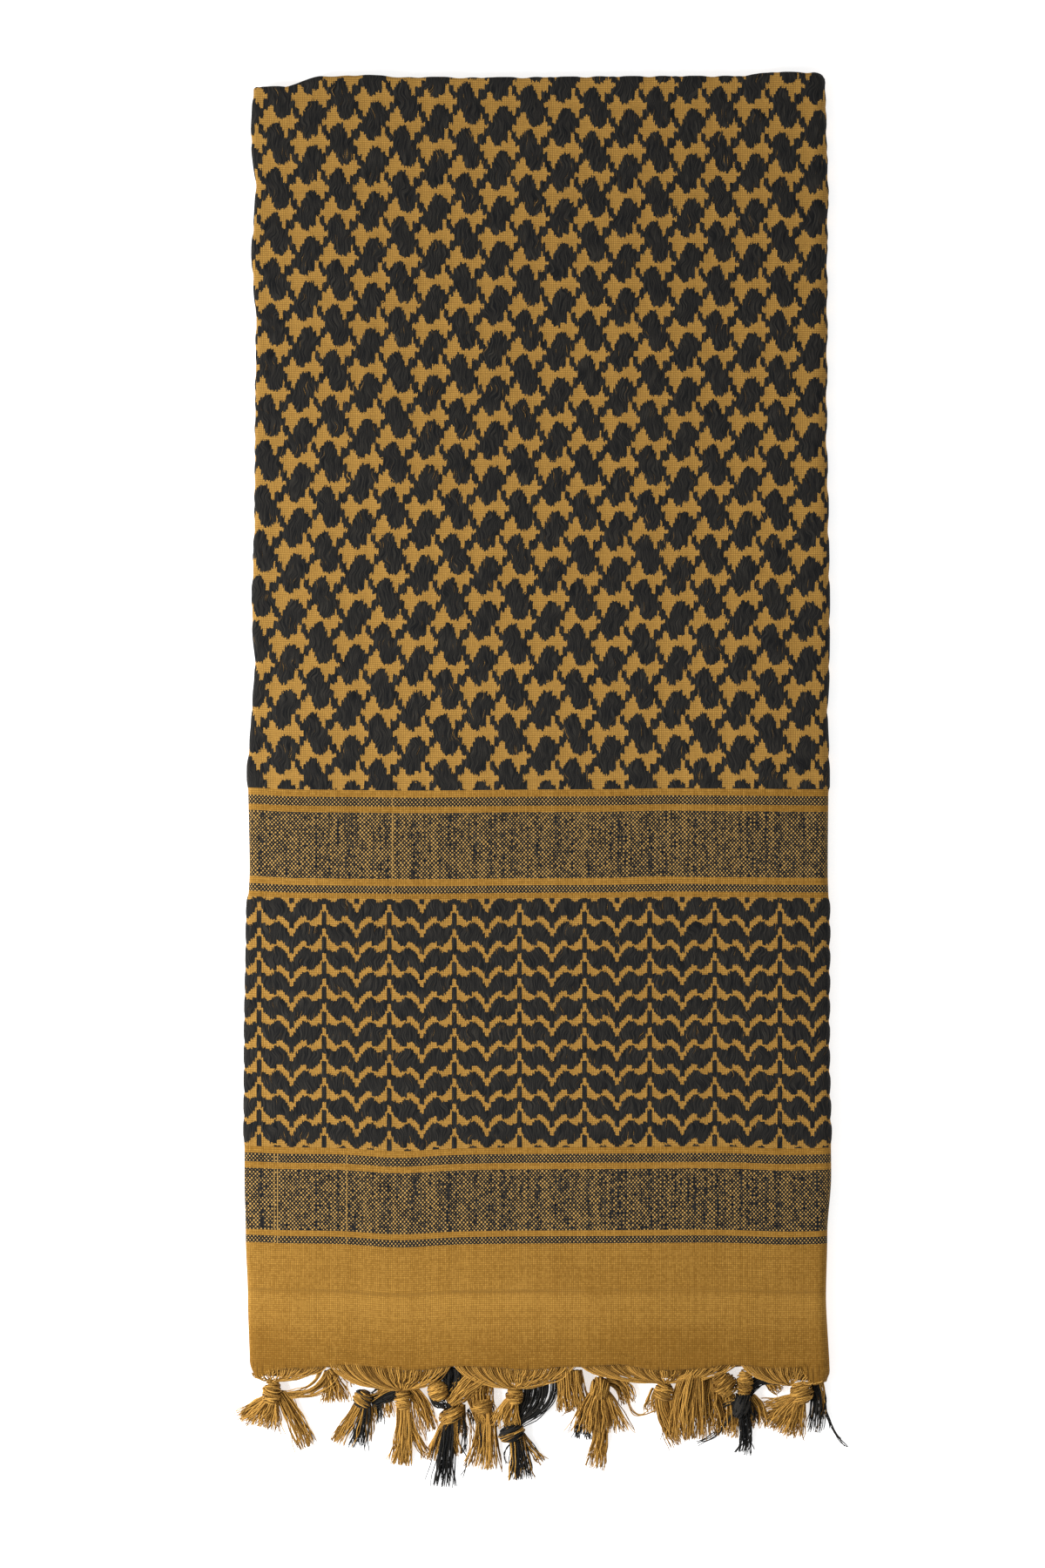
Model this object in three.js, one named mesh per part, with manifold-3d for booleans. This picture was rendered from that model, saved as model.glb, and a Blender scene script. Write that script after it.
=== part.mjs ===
// A keffiyeh headscarf, folded to a quarter of its width and half its length, lying flat.
// Millimetres. +Z is up from the surface it lies on, +Y runs from the fringe to the fold that
// joins the two ends, +X runs from the double folded edge to the single folded edge.
import * as THREE from "three";
import Module from "manifold-3d";
import { mergeVertices } from "three/addons/utils/BufferGeometryUtils.js";

// Driving dimensions.
const FOLDED_LENGTH = 600; // fold to last woven pick
const STACK_HEIGHT = 10; // eight plies and the air between them
const PLY_WALL = 1.2; // cloth with its raised floats
const SEAM_GAP = 0.3; // between neighbouring pieces
const TUCK = 6; // how far the left folds turn in between the plies
const SLIT = 0.6; // between the two left folds
const FOLD_ROLL = 1.3; // radius of each doubled fold at the far end
const CORNER_ROUND = 4; // plan radius of the corners by the fold
const EDGE_SETTLE = 55; // how far the uneven fold line is felt down the cloth
const FRINGE_STEP = 600.3; // where the loose warp ends start
const NECK_HEIGHT = 6.5; // the gathered ends where the tassels leave them

// The two side edges, measured from the middle line, down the cloth from the fold.
const SIDE_EDGES = [
  { along: 4, left: -133.2, right: 133.0 },
  { along: 41, left: -133.7, right: 133.7 },
  { along: 82, left: -134.5, right: 132.8 },
  { along: 115, left: -132.3, right: 132.9 },
  { along: 166, left: -132.8, right: 133.7 },
  { along: 248, left: -132.6, right: 134.6 },
  { along: 329, left: -135.2, right: 134.2 },
  { along: 390, left: -134.5, right: 134.4 },
  { along: 450, left: -137.7, right: 134.8 },
  { along: 511, left: -137.0, right: 135.2 },
  { along: 552, left: -136.1, right: 133.3 },
  { along: 572, left: -135.3, right: 132.4 },
  { along: 600, left: -134.1, right: 134.1 },
];

// How far the fold stands past its nominal line, across the cloth.
const FOLD_LINE = [
  { across: -134, proud: -4.6 },
  { across: -120, proud: -4.4 },
  { across: -102, proud: 0.1 },
  { across: -84, proud: 0.8 },
  { across: -50, proud: -0.6 },
  { across: 40, proud: -0.6 },
  { across: 92, proud: -0.1 },
  { across: 110, proud: 1.8 },
  { across: 134, proud: 1.2 },
];

// The lower edge of the gathered warp ends: high under each arch, low at each tassel's neck.
const GATHER_REACH = 11;
const ARCH_REACH = 5;

// Each tassel leaves the gather at its neck and spreads to its tip. All are distances from the
// middle line and down from the fold, but for the widths.
const TASSELS = [
  { neck: -125.6, tip: -131.6, end: 627.8, width: 19 },
  { neck: -115.5, tip: -108.5, end: 638.3, width: 9 },
  { neck: -97.2, tip: -94.8, end: 616.5, width: 12 },
  { neck: -82.6, tip: -88.0, end: 640.0, width: 13 },
  { neck: -64.4, tip: -64.4, end: 647.0, width: 11 },
  { neck: -48.0, tip: -45.4, end: 657.7, width: 12 },
  { neck: -27.0, tip: -25.1, end: 648.8, width: 15 },
  { neck: -9.5, tip: -5.2, end: 654.0, width: 17 },
  { neck: 15.0, tip: 14.5, end: 619.7, width: 12 },
  { neck: 29.2, tip: 27.5, end: 648.4, width: 16 },
  { neck: 55.0, tip: 54.5, end: 627.3, width: 12 },
  { neck: 70.5, tip: 70.5, end: 635.4, width: 16 },
  { neck: 87.5, tip: 91.0, end: 638.7, width: 17 },
  { neck: 118.0, tip: 113.0, end: 630.6, width: 17 },
  { neck: 127.5, tip: 129.0, end: 630.6, width: 8 },
];

// A tassel's form from neck to tip: share of its length, of its full width, and its height.
const TASSEL_FORM = [
  { share: 0, spread: 0.3, height: 6 },
  { share: 0.14, spread: 0.46, height: 7 },
  { share: 0.3, spread: 0.36, height: 5 },
  { share: 0.7, spread: 0.8, height: 4 },
  { share: 1, spread: 1, height: 2.5 },
];

/** The value of a table's column at a place between its rows, smooth where rows meet. */
function between(rows, key, column, place) {
  const last = rows.length - 1;
  if (place <= rows[0][key]) return rows[0][column];
  if (place >= rows[last][key]) return rows[last][column];
  const upper = rows.findIndex((row) => row[key] >= place);
  const [from, to] = [rows[upper - 1], rows[upper]];
  const share = THREE.MathUtils.smoothstep(place, from[key], to[key]);
  return THREE.MathUtils.lerp(from[column], to[column], share);
}

/** Points of an arc in the X-Z plane, angles in degrees from +X towards +Z. */
function arc(x, z, radius, from, to, steps) {
  return Array.from({ length: steps + 1 }, (_, i) => {
    const angle = THREE.MathUtils.degToRad(from + ((to - from) * i) / steps);
    return [x + radius * Math.cos(angle), z + radius * Math.sin(angle)];
  });
}

/** Points strictly between two places on a level line. */
function level(fromX, toX, z, steps) {
  return Array.from({ length: steps - 1 }, (_, i) => [fromX + ((toX - fromX) * (i + 1)) / steps, z]);
}

const PANEL_STEPS = 10;
const FOLD_STEPS = 8;
const TURN_STEPS = 6;

/**
 * The wrapped ply's section at a depth inside its outer face: from the upper tuck, round the upper
 * left fold, over the front, round the right fold, along the back and round the lower left fold.
 */
function wrapPath({ left, right, lift }, depth) {
  const [floor, top] = [lift, STACK_HEIGHT - lift];
  const middle = STACK_HEIGHT / 2;
  const turn = (top - middle - SLIT / 2) / 2;
  const fold = (top - floor) / 2;
  const tuckEnd = left + turn + TUCK;
  return [
    [tuckEnd, middle + SLIT / 2 + depth],
    ...arc(left + turn, top - turn, turn - depth, 270, 90, TURN_STEPS),
    ...level(left + turn, right - fold, top - depth, PANEL_STEPS),
    ...arc(right - fold, middle, fold - depth, 90, -90, FOLD_STEPS),
    ...level(right - fold, left + turn, floor + depth, PANEL_STEPS),
    ...arc(left + turn, floor + turn, turn - depth, 270, 90, TURN_STEPS),
    [tuckEnd, middle - SLIT / 2 - depth],
  ];
}

/** The stations down the cloth: a quarter round over the fold, then one for each side-edge row. */
function stations() {
  const roll = [90, 60, 30, 0].map((degrees) => {
    const angle = THREE.MathUtils.degToRad(degrees);
    return {
      along: FOLD_ROLL * (1 - Math.sin(angle)),
      lift: FOLD_ROLL * (1 - Math.cos(angle)),
    };
  });
  const panel = SIDE_EDGES.map(({ along }) => ({ along, lift: 0 }));
  return [...roll, ...panel].map(({ along, lift }) => {
    const inCorner = Math.max(0, 1 - along / CORNER_ROUND);
    const cornerCut = CORNER_ROUND * (1 - Math.sqrt(1 - inCorner ** 2));
    return {
      along,
      lift,
      left: between(SIDE_EDGES, "along", "left", along) + cornerCut / 2,
      right: between(SIDE_EDGES, "along", "right", along) - cornerCut,
    };
  });
}

/** Sets a section's points out at their station, with the fold line's unevenness fading below it. */
function placed(section, along) {
  const felt = Math.max(0, 1 - along / EDGE_SETTLE);
  return section.map(([x, z]) => {
    const proud = between(FOLD_LINE, "across", "proud", x) * felt;
    return new THREE.Vector3(x, proud - along, z);
  });
}

/**
 * A closed solid skinned through rings that run anticlockwise seen from the fringe end, from the
 * ring nearest the fold to the one nearest the fringe.
 */
function skin(rings) {
  const count = rings[0].length;
  const index = [];
  for (let ring = 0; ring + 1 < rings.length; ring++) {
    for (let i = 0; i < count; i++) {
      const a = ring * count + i;
      const b = ring * count + ((i + 1) % count);
      index.push(a, b, b + count, a, b + count, a + count);
    }
  }
  const capOf = (ring) => {
    const outline = ring.map(({ x, z }) => new THREE.Vector2(x, z));
    return THREE.ShapeUtils.triangulateShape(outline, []);
  };
  const lastStart = (rings.length - 1) * count;
  capOf(rings[0]).forEach(([a, b, c]) => index.push(a, c, b));
  capOf(rings.at(-1)).forEach(([a, b, c]) => index.push(lastStart + a, lastStart + b, lastStart + c));
  const geometry = new THREE.BufferGeometry().setFromPoints(rings.flat());
  return geometry.setIndex(index);
}

/** The outermost ply: a wall wrapped round the stack. */
function outerPly() {
  return skin(
    stations().map((station) => {
      const outside = wrapPath(station, 0);
      const inside = wrapPath(station, PLY_WALL);
      return placed([...inside, ...outside.reverse()], station.along);
    }),
  );
}

/** The hidden plies as one core that fills the wrap, before its ends are layered. */
function coreBlock() {
  const depth = PLY_WALL + SEAM_GAP;
  return skin(
    stations().map((station) => {
      const path = wrapPath(station, depth);
      const clearOfTuck = path[0][0] + SEAM_GAP;
      const upper = [clearOfTuck, path[0][1]];
      const lower = [clearOfTuck, path.at(-1)[1]];
      return placed([upper, ...path, lower].reverse(), station.along);
    }),
  );
}

/** A V-shaped groove across an end of the stack, with its mouth at one height. */
function groove({ mouthAlong, depth, height, halfWidth }) {
  const reach = 150;
  const steps = 14;
  const side = Math.sign(depth);
  const beyond = mouthAlong - side * 8;
  const rings = [
    { along: beyond, half: halfWidth },
    { along: mouthAlong, half: halfWidth },
    { along: mouthAlong + depth, half: 0.05 },
  ];
  const across = Array.from({ length: steps + 1 }, (_, i) => -reach + (2 * reach * i) / steps);
  const ordered = side > 0 ? rings : rings.reverse();
  return skin(
    ordered.map(({ along, half }) => {
      const under = across.map((x) => [x, height - half]);
      const over = across.map((x) => [x, height + half]).reverse();
      return placed([...under, ...over], along);
    }),
  );
}

const wasm = await Module();
wasm.setup();

function toSolid(geometry) {
  const bare = new THREE.BufferGeometry();
  bare.setAttribute("position", geometry.getAttribute("position"));
  bare.setIndex(geometry.index);
  const merged = mergeVertices(bare, 1e-3);
  return new wasm.Manifold(
    new wasm.Mesh({
      numProp: 3,
      vertProperties: merged.attributes.position.array,
      triVerts: new Uint32Array(merged.index.array),
    }),
  );
}

function fromSolid(solid) {
  const mesh = solid.getMesh();
  const geometry = new THREE.BufferGeometry();
  geometry.setAttribute("position", new THREE.BufferAttribute(mesh.vertProperties, mesh.numProp));
  return geometry.setIndex(new THREE.BufferAttribute(mesh.triVerts, 1));
}

/** The hidden plies, with a groove between the two folds and one between each pair of ply ends. */
function innerPlies() {
  const pairFolds = [{ mouthAlong: 0, depth: 2.2, height: STACK_HEIGHT / 2, halfWidth: 0.7 }];
  const plyPitch = (STACK_HEIGHT - 2 * PLY_WALL) / 6;
  const plyEnds = [1, 2, 3, 4, 5].map((ply) => ({
    mouthAlong: FOLDED_LENGTH,
    depth: -2,
    height: PLY_WALL + ply * plyPitch,
    halfWidth: 0.3,
  }));
  const cut = [...pairFolds, ...plyEnds].reduce(
    (core, shape) => core.subtract(toSolid(groove(shape))),
    toSolid(coreBlock()),
  );
  return fromSolid(cut);
}

/** The loose warp ends: a sloping apron with an arch between each two tassel necks. */
function fringeGather() {
  const necks = TASSELS.map(({ neck }) => neck);
  const left = SIDE_EDGES.at(-1).left + 1;
  const right = SIDE_EDGES.at(-1).right - 1;
  const places = [{ x: left, reach: ARCH_REACH }];
  necks.forEach((neck, i) => {
    places.push({ x: neck - 1.5, reach: GATHER_REACH }, { x: neck + 1.5, reach: GATHER_REACH });
    if (i + 1 < necks.length) places.push({ x: (neck + necks[i + 1]) / 2, reach: ARCH_REACH });
  });
  places.push({ x: right, reach: ARCH_REACH });
  const ring = (share) => {
    const top = THREE.MathUtils.lerp(STACK_HEIGHT - 0.3, NECK_HEIGHT, share);
    const row = (z) => places.map(({ x, reach }) => new THREE.Vector3(x, -FRINGE_STEP - reach * share, z));
    return [...row(0), ...row(top).reverse()];
  };
  return skin([ring(0), ring(0.5), ring(1)]);
}

/** One tassel: a low dome section carried from its neck, through its knot, to its fanned tip. */
function tassel({ neck, tip, end, width }) {
  const start = FRINGE_STEP + GATHER_REACH + SEAM_GAP;
  return skin(
    TASSEL_FORM.map(({ share, spread, height }) => {
      const centre = THREE.MathUtils.lerp(neck, tip, share);
      const along = THREE.MathUtils.lerp(start, end, share);
      const half = (width * spread) / 2;
      const dome = arc(0, 0, 1, 0, 180, 7).map(([c, s]) => [centre + half * c, height * s]);
      return dome.map(([x, z]) => new THREE.Vector3(x, -along, Math.max(z, 0)));
    }),
  );
}

const goldCotton = new THREE.MeshStandardMaterial({ color: 0xb48732, roughness: 0.9, metalness: 0 });
const patternCloth = new THREE.MeshStandardMaterial({ color: 0x7d6240, roughness: 0.9, metalness: 0 });
const innerCloth = new THREE.MeshStandardMaterial({ color: 0x6d5230, roughness: 0.95, metalness: 0 });
const fringeYarn = new THREE.MeshStandardMaterial({ color: 0xa97d33, roughness: 0.85, metalness: 0 });

const scarf = new THREE.Group();

function addPiece(name, geometry, material) {
  const mesh = new THREE.Mesh(geometry, material.clone());
  mesh.name = name;
  scarf.add(mesh);
}

addPiece("outer_ply", outerPly(), patternCloth);
addPiece("inner_plies", innerPlies(), innerCloth);
addPiece("fringe_gather", fringeGather(), goldCotton);
TASSELS.forEach((row, i) => {
  addPiece(`tassel_${String(i + 1).padStart(2, "0")}`, tassel(row), fringeYarn);
});

// The origin is the middle of the scarf's own box, on the surface it lies on.
const box = new THREE.Box3().setFromObject(scarf, true);
scarf.position.set(-(box.min.x + box.max.x) / 2, -(box.min.y + box.max.y) / 2, -box.min.z);

const part = new THREE.Group();
part.add(scarf);
export default part;
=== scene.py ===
import math

import bmesh
import bpy
import numpy as np
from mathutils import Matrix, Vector


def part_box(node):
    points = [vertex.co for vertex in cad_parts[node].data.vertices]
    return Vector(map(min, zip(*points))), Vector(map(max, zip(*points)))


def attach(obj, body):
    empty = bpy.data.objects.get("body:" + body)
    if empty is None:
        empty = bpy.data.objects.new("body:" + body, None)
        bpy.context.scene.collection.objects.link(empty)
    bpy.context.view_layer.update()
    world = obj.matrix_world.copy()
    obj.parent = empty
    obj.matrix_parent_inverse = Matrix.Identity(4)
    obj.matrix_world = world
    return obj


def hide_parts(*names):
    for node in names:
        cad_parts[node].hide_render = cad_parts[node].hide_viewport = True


# A keffiyeh headscarf folded flat. Lengths below are in millimetres: "across" runs from the
# middle line towards the single fold, "along" runs down the cloth from the far fold to the fringe.
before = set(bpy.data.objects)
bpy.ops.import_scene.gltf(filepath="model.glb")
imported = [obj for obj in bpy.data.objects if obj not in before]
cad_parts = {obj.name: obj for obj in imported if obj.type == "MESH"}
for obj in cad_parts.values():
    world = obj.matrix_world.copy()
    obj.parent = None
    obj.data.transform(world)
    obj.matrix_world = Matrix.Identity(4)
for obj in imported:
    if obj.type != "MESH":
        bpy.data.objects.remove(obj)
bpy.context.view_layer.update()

MM = 0.001
OUTER_LOW, OUTER_HIGH = (np.array(corner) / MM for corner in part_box("outer_ply"))
LEFTMOST = -137.7  # the cloth's widest place on the side of the two folds
CLOTH_LENGTH = 600.0
SHIFT_ACROSS = OUTER_LOW[0] - LEFTMOST
SHIFT_ALONG = OUTER_LOW[1] + CLOTH_LENGTH
STACK = OUTER_HIGH[2]

# The cloth, folded.
PLY = 0.8
SLIT = 0.6  # between the two folds on the left
TUCK = 5.0  # how far the ply goes in past each of them
ROLL = 1.05  # radius of the doubled fold at the far end
RETURN = 14.0  # how far the rolled ply shows going back in
GROUND_DEPTH = 0.35  # the gold ground lies this far under the stack's top
FLOAT_RISE = 0.7  # and the floats stand this far above the ground
FOLD_FADE = 55.0  # the far fold's own line fades out over this length
SIDE_PRESS = 0.9  # how much thinner the stack is pressed at its sides

# The weave.
WARP_PITCH = 0.842
WEFT_PITCH = 0.938
FLOAT_THREAD = 0.46
FLOAT_SPREAD, FLOAT_REACH = 0.14, 0.10  # how far a float stands past its steps of the pattern
NET_COLUMNS, NET_ROWS = 30, 22
NET_WIDTH, NET_DEPTH = 29.69, 21.1
LEAF_COLUMNS, LEAF_ROWS = 30, 12
LEAF_WIDTH, LEAF_DEPTH = 29.75, 11.54
NET_START = (-0.35, 93.9)
NET_FIRST_ROW = 8.5
LEAF_START = (-1.8, 396.1)

# Where each band of the cloth ends, down from the fold.
NET_END, LEAF_BEGIN, LEAF_END = 331.6, 382.1, 497.8
BANDS = [
    ("net", NET_END),
    ("gold", 334.9),
    ("dotted", 339.2),
    ("gold", 342.1),
    ("mottled", 372.9),
    ("gold", 376.1),
    ("dotted", 379.6),
    ("gold", LEAF_BEGIN),
    ("leaf", LEAF_END),
    ("gold", 500.9),
    ("dotted", 505.1),
    ("gold", 508.0),
    ("mottled", 536.5),
    ("gold", 539.2),
    ("dotted", 542.6),
    ("plain", 640.0),
]

# The net is made of two figures of joined stars, set half a repeat apart. One letter is one step
# of the pattern: # is the gold ground and . is a black float.
STAR_PAIR = [
    ".............##....",
    ".............##....",
    ".............##....",
    "...##........##....",
    "...###.......###...",
    "...###....#######..",
    "..#####...#######..",
    "###################",
    "###################",
    "###################",
    "..#######....####..",
    "..######.....####..",
    "..######.......##..",
    "..#####........##..",
    "....###............",
    "....##.............",
    "....##.............",
    ".....#.............",
]
ROUND_STAR_PAIR = [
    ".....#.............",
    "....###............",
    "....###........#...",
    "..#####........#...",
    "..######.......#...",
    "..######......###..",
    "..#######....####..",
    "###################",
    "###################",
    "#######...#######..",
    "..####....#######..",
    "..###......######..",
    "..##.......###.....",
    "...#........##.....",
    "............##.....",
    "............##.....",
]

# The leaf border's gold line, from a peak out to the V beside it: first and last gold step of
# each column, counted down from the tip of the peak.
LEAF_LINE = [
    (0, 3), (3, 9), (5, 9), (6, 10), (7, 10), (8, 10), (8, 9), (8, 8),
    (6, 8), (6, 8), (6, 9), (7, 10), (8, 11), (9, 13), (12, 15),
]


def net_chart():
    """The net's repeat as an array of gold (1) and black (0): the two figures laid on a black
    ground, the second half a repeat across and just over half a repeat down."""
    chart = np.zeros((NET_ROWS, NET_COLUMNS), int)
    for figure, down, across in ((STAR_PAIR, 0, 0), (ROUND_STAR_PAIR, 12, 15)):
        cells = np.array([[letter == "#" for letter in row] for row in figure])
        rows = (down + np.arange(cells.shape[0]))[:, None] % NET_ROWS
        columns = (across + np.arange(cells.shape[1]))[None] % NET_COLUMNS
        chart[rows, columns] |= cells
    return chart


def leaf_chart():
    """The leaf border's repeat: the line of LEAF_LINE and its mirror image, wrapped round."""
    steps = np.arange(2 * LEAF_ROWS)[:, None]
    first, last = np.array(LEAF_LINE).T
    half = (steps >= first) & (steps <= last)
    half = half[:LEAF_ROWS] | half[LEAF_ROWS:]
    return np.hstack([half, half[:, ::-1]]).astype(int)


# ---------------------------------------------------------------- the cloth's shape


def smooth(value, low, high):
    """0 below low, 1 above high, and an S-shaped rise between them."""
    share = np.clip((value - low) / (high - low), 0, 1)
    return share * share * (3 - 2 * share)


def bell(value, centre, width):
    """A rounded bump of height 1 at centre."""
    return np.exp(-(((value - centre) / width) ** 2))


def thread_place(across, along):
    """The cloth's own thread coordinates at a place on the folded scarf. The warp drifts to the
    left down the cloth, more on the left; the weft slants by the fold, where the cloth was folded
    a little off square, and dips gently across its width."""
    share = np.clip(along / 331.0, 0, 0.9)
    side = across / 133.0
    drift = 2.3 - 4.2 * share - 7.5 * share**2
    drift = drift + side * (-1.3 + 0.6 * share + 3.8 * share**2)
    slant = 4.86 * (1 - np.clip(along / 331.0, 0, 1)) * smooth(across, -100, 43)
    dip = (
        0.5 * bell(across, -56, 36)
        - 0.45 * bell(across, 78, 40)
        - 0.7 * bell(across, -138, 14)
        + (1.4 * bell(across, -66, 18) + 0.8 * bell(across, 114, 20)) * smooth(along, 420, 510)
        - (0.25 + 0.5 * bell(across, -134, 14) + 0.5 * bell(across, 56, 16)) * bell(along, 356, 30)
    )
    return across - drift, along - slant - dip


# The folded scarf's two sides, as it lies: (along, left, right).
SIDE_EDGES = [
    (0, -133.6, 133.0),
    (26, -134.4, 133.7),
    (52, -132.4, 134.5),
    (82, -134.2, 134.0),
    (115, -132.3, 134.0),
    (166, -132.8, 133.7),
    (199, -133.0, 134.4),
    (248, -134.2, 135.0),
    (276, -132.7, 134.8),
    (296, -134.2, 134.0),
    (323, -136.3, 134.9),
    (369, -135.6, 134.6),
    (393, -136.8, 135.2),
    (450, -137.7, 135.0),
    (511, -138.0, 136.2),
    (539, -137.4, 134.4),
    (568, -136.4, 133.8),
    (600, -135.4, 135.6),
]


def side_edge(along, column):
    """Where a side of the scarf lies at a place down it, on an S-shaped line between the rows of
    SIDE_EDGES."""
    rows = np.array(SIDE_EDGES, float)
    place = np.clip(along, 0, CLOTH_LENGTH)
    index = np.clip(np.searchsorted(rows[:, 0], place, "right") - 1, 0, len(rows) - 2)
    share = smooth((place - rows[index, 0]) / (rows[index + 1, 0] - rows[index, 0]), 0, 1)
    return rows[index, column] * (1 - share) + rows[index + 1, column] * share


def fold_line(across):
    """How far the far fold stands past its nominal line: low at the left corner, and raised a
    little towards the right one."""
    left_corner = -4.8 * (1 - smooth(across, -120, -100))
    rise = 0.7 * bell(across, -84, 14) + 1.9 * smooth(across, 92, 110)
    return left_corner + rise - 0.6 * bell(across, -20, 50)


# The five knots that gather the front ply's warp ends, and the top of the arch past each.
FRONT_KNOTS = [
    {"at": (-125.0, 607.0), "arch": -98.0, "height": 6.4},
    {"at": (-64.6, 611.0), "arch": -40.5, "height": 6.6},
    {"at": (-11.6, 610.2), "arch": 18.0, "height": 6.8},
    {"at": (58.4, 607.6), "arch": 93.0, "height": 6.6},
    {"at": (116.5, 608.5), "arch": 132.0, "height": 6.2},
]


def woven_end(across):
    """How far the last pick lies from its nominal line, drawn down between the fringe's knots."""
    sway = 0.5 * np.sin(across / 9.5 + 0.6) + 0.35 * np.sin(across / 4.1 + 2.0)
    drawn = sum(2.0 * bell(across, knot["at"][0], 13) for knot in FRONT_KNOTS)
    corners = 4.0 * smooth(-across, 124, 131) + 7.0 * smooth(across, 121, 127)
    return drawn + sway + 0.22 * np.sin(across / 1.15 + 3 * np.sin(across / 9)) - 0.4 + corners


def arc_block(centre_x, centre_z, radius, start, stop, count):
    """Points round part of a circle, one row for each station: x, z and the angle turned."""
    angle = np.linspace(start, stop, count)[None]
    x = centre_x[:, None] + radius[:, None] * np.cos(angle)
    z = centre_z[:, None] + radius[:, None] * np.sin(angle)
    return x, z, np.abs(angle - start) + 0 * x


def wrap(along, depth, counts):
    """The wrapped ply as a grid: one row for each station down the cloth, one column for each
    place round the section, which runs from the upper tuck round the upper left fold, over the
    front, round the right fold, along the back and round the lower left fold to the lower tuck.
    Returns x, z, the distance travelled round the cloth, and how much each column shows."""
    turn_steps, panel_steps, fold_steps, back_steps = counts
    corner = 4.0 * (1 - np.sqrt(1 - np.clip(1 - along / 4.0, 0, 1) ** 2))
    left = side_edge(along, 1) + 0.2 * corner + 3.0 * smooth(along, 594, 602)
    right = side_edge(along, 2) - corner - 1.5 * smooth(along, 596, 600)
    middle = STACK / 2 + 0 * along
    turn = (STACK / 2 - SLIT / 2) / 2 + 0 * along
    fold = STACK / 2 + 0 * along
    inner_turn = np.maximum(turn - depth, 0.12)
    front = np.linspace(0, 1, panel_steps + 1)[None, 1:-1]
    back = np.linspace(0, 1, back_steps + 1)[None, 1:-1]
    start, stop = (left + turn)[:, None], (right - fold)[:, None]

    tuck_x = start + TUCK * np.array([[1.0, 0.5]])
    up, down = 0.5 * math.pi, 1.5 * math.pi
    turn_x, fold_x = left + turn, right - fold
    upper_x, upper_z, upper_turned = arc_block(turn_x, STACK - turn, inner_turn, down, up, turn_steps)
    right_x, right_z, right_turned = arc_block(fold_x, middle, fold - depth, up, -up, fold_steps)
    lower_x, lower_z, lower_turned = arc_block(turn_x, turn, inner_turn, down, up, turn_steps)
    front_x = start + (stop - start) * front
    back_x = stop + (start - stop) * back

    x = np.hstack([tuck_x, upper_x, front_x, right_x, back_x, lower_x, tuck_x[:, ::-1]])
    z = np.hstack([
        (middle + SLIT / 2 + depth)[:, None] + 0 * tuck_x,
        upper_z,
        (STACK - depth)[:, None] + 0 * front_x,
        right_z,
        depth[:, None] + 0 * back_x,
        lower_z,
        (middle - SLIT / 2 - depth)[:, None] + 0 * tuck_x,
    ])
    half_turn = math.pi * turn[:, None]
    past_fold = stop + math.pi * fold[:, None]
    travelled = np.hstack([
        start - half_turn - (tuck_x - start),
        start - half_turn + upper_turned * turn[:, None],
        front_x,
        stop + right_turned * fold[:, None],
        past_fold + (stop - back_x),
        past_fold + (stop - start) + lower_turned * turn[:, None],
        past_fold + (stop - start) + half_turn + (tuck_x[:, ::-1] - start),
    ])
    shows = np.hstack([
        0 * tuck_x,
        smooth(upper_turned, 0.2, 1.2),
        1 + 0 * front_x,
        1 - 0.9 * smooth(right_turned, 1.7, 2.9),
        0.1 + 0 * back_x,
        0.1 + 0.5 * np.sin(lower_turned),
        0 * tuck_x,
    ])
    return x, z, travelled, shows


def stations(panel_steps, roll_steps, radius, thickness):
    """Places down the cloth from the ply that goes back in, round the roll of the far fold and
    down to the last pick: along, depth under the outer face, and the distance on the cloth."""
    angle = np.linspace(math.pi, 0, roll_steps + 1)
    panel = np.linspace(0, 1, panel_steps + 1)[1:]
    inward = np.linspace(RETURN, radius, 4)[:-1]
    round_the_roll = (radius - thickness) * np.sin(angle)
    down_the_panel = radius + panel * (CLOTH_LENGTH - radius)
    along = np.concatenate([inward, radius - round_the_roll, down_the_panel])
    depth = np.concatenate([
        0 * inward + 2 * radius - thickness,
        radius - (radius - thickness) * np.cos(angle),
        0 * panel + thickness,
    ])
    on_cloth = np.concatenate([
        radius * (1 - math.pi) - (inward - radius),
        radius - radius * angle,
        down_the_panel,
    ])
    return along, depth, on_cloth


# Soft troughs (depth above 0) and ridges (below 0) in the front, as the cloth was last folded:
# the middle's place across and along, then length, turn in degrees, width and depth.
CREASES = [
    (-66, 520, 26, 52, 1.6, 0.35),
    (-48, 534, 18, 40, 1.4, 0.28),
    (-10, 357, 46, 33, 2.2, 0.3),
    (22, 362, 30, 24, 1.9, 0.22),
    (-100, 366, 30, -38, 2.0, 0.2),
    (60, 300, 90, 78, 4.0, 0.22),
    (-40, 180, 120, 84, 5.0, 0.24),
    (30, 90, 100, 96, 4.5, 0.2),
    (-120, 588, 22, 18, 1.5, 0.45),
    (-108, 592, 16, -30, 1.3, 0.4),
    (-22, 590, 26, 12, 1.6, 0.45),
    (-6, 594, 20, -22, 1.4, 0.4),
    (40, 592, 26, 8, 1.8, 0.35),
    (92, 590, 24, -14, 1.6, 0.38),
    (125, 600.5, 30, -4, 0.9, 0.8),
    (-78, 596, 30, 14, 1.5, 0.55),
    (-52, 595, 22, -20, 1.5, 0.5),
    (4, 593, 34, -16, 1.7, 0.55),
    (-8, 588, 44, 6, 1.8, -0.35),
    (44, 596, 30, 16, 1.5, 0.55),
    (72, 593, 30, -18, 1.6, 0.5),
    (107, 594, 24, 18, 1.5, 0.5),
    (-96, 590, 30, 20, 1.6, 0.4),
    (10, 564, 260, 0, 1.6, 0.22),
    (0, 557, 250, 0, 5.0, -0.22),
]


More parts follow.
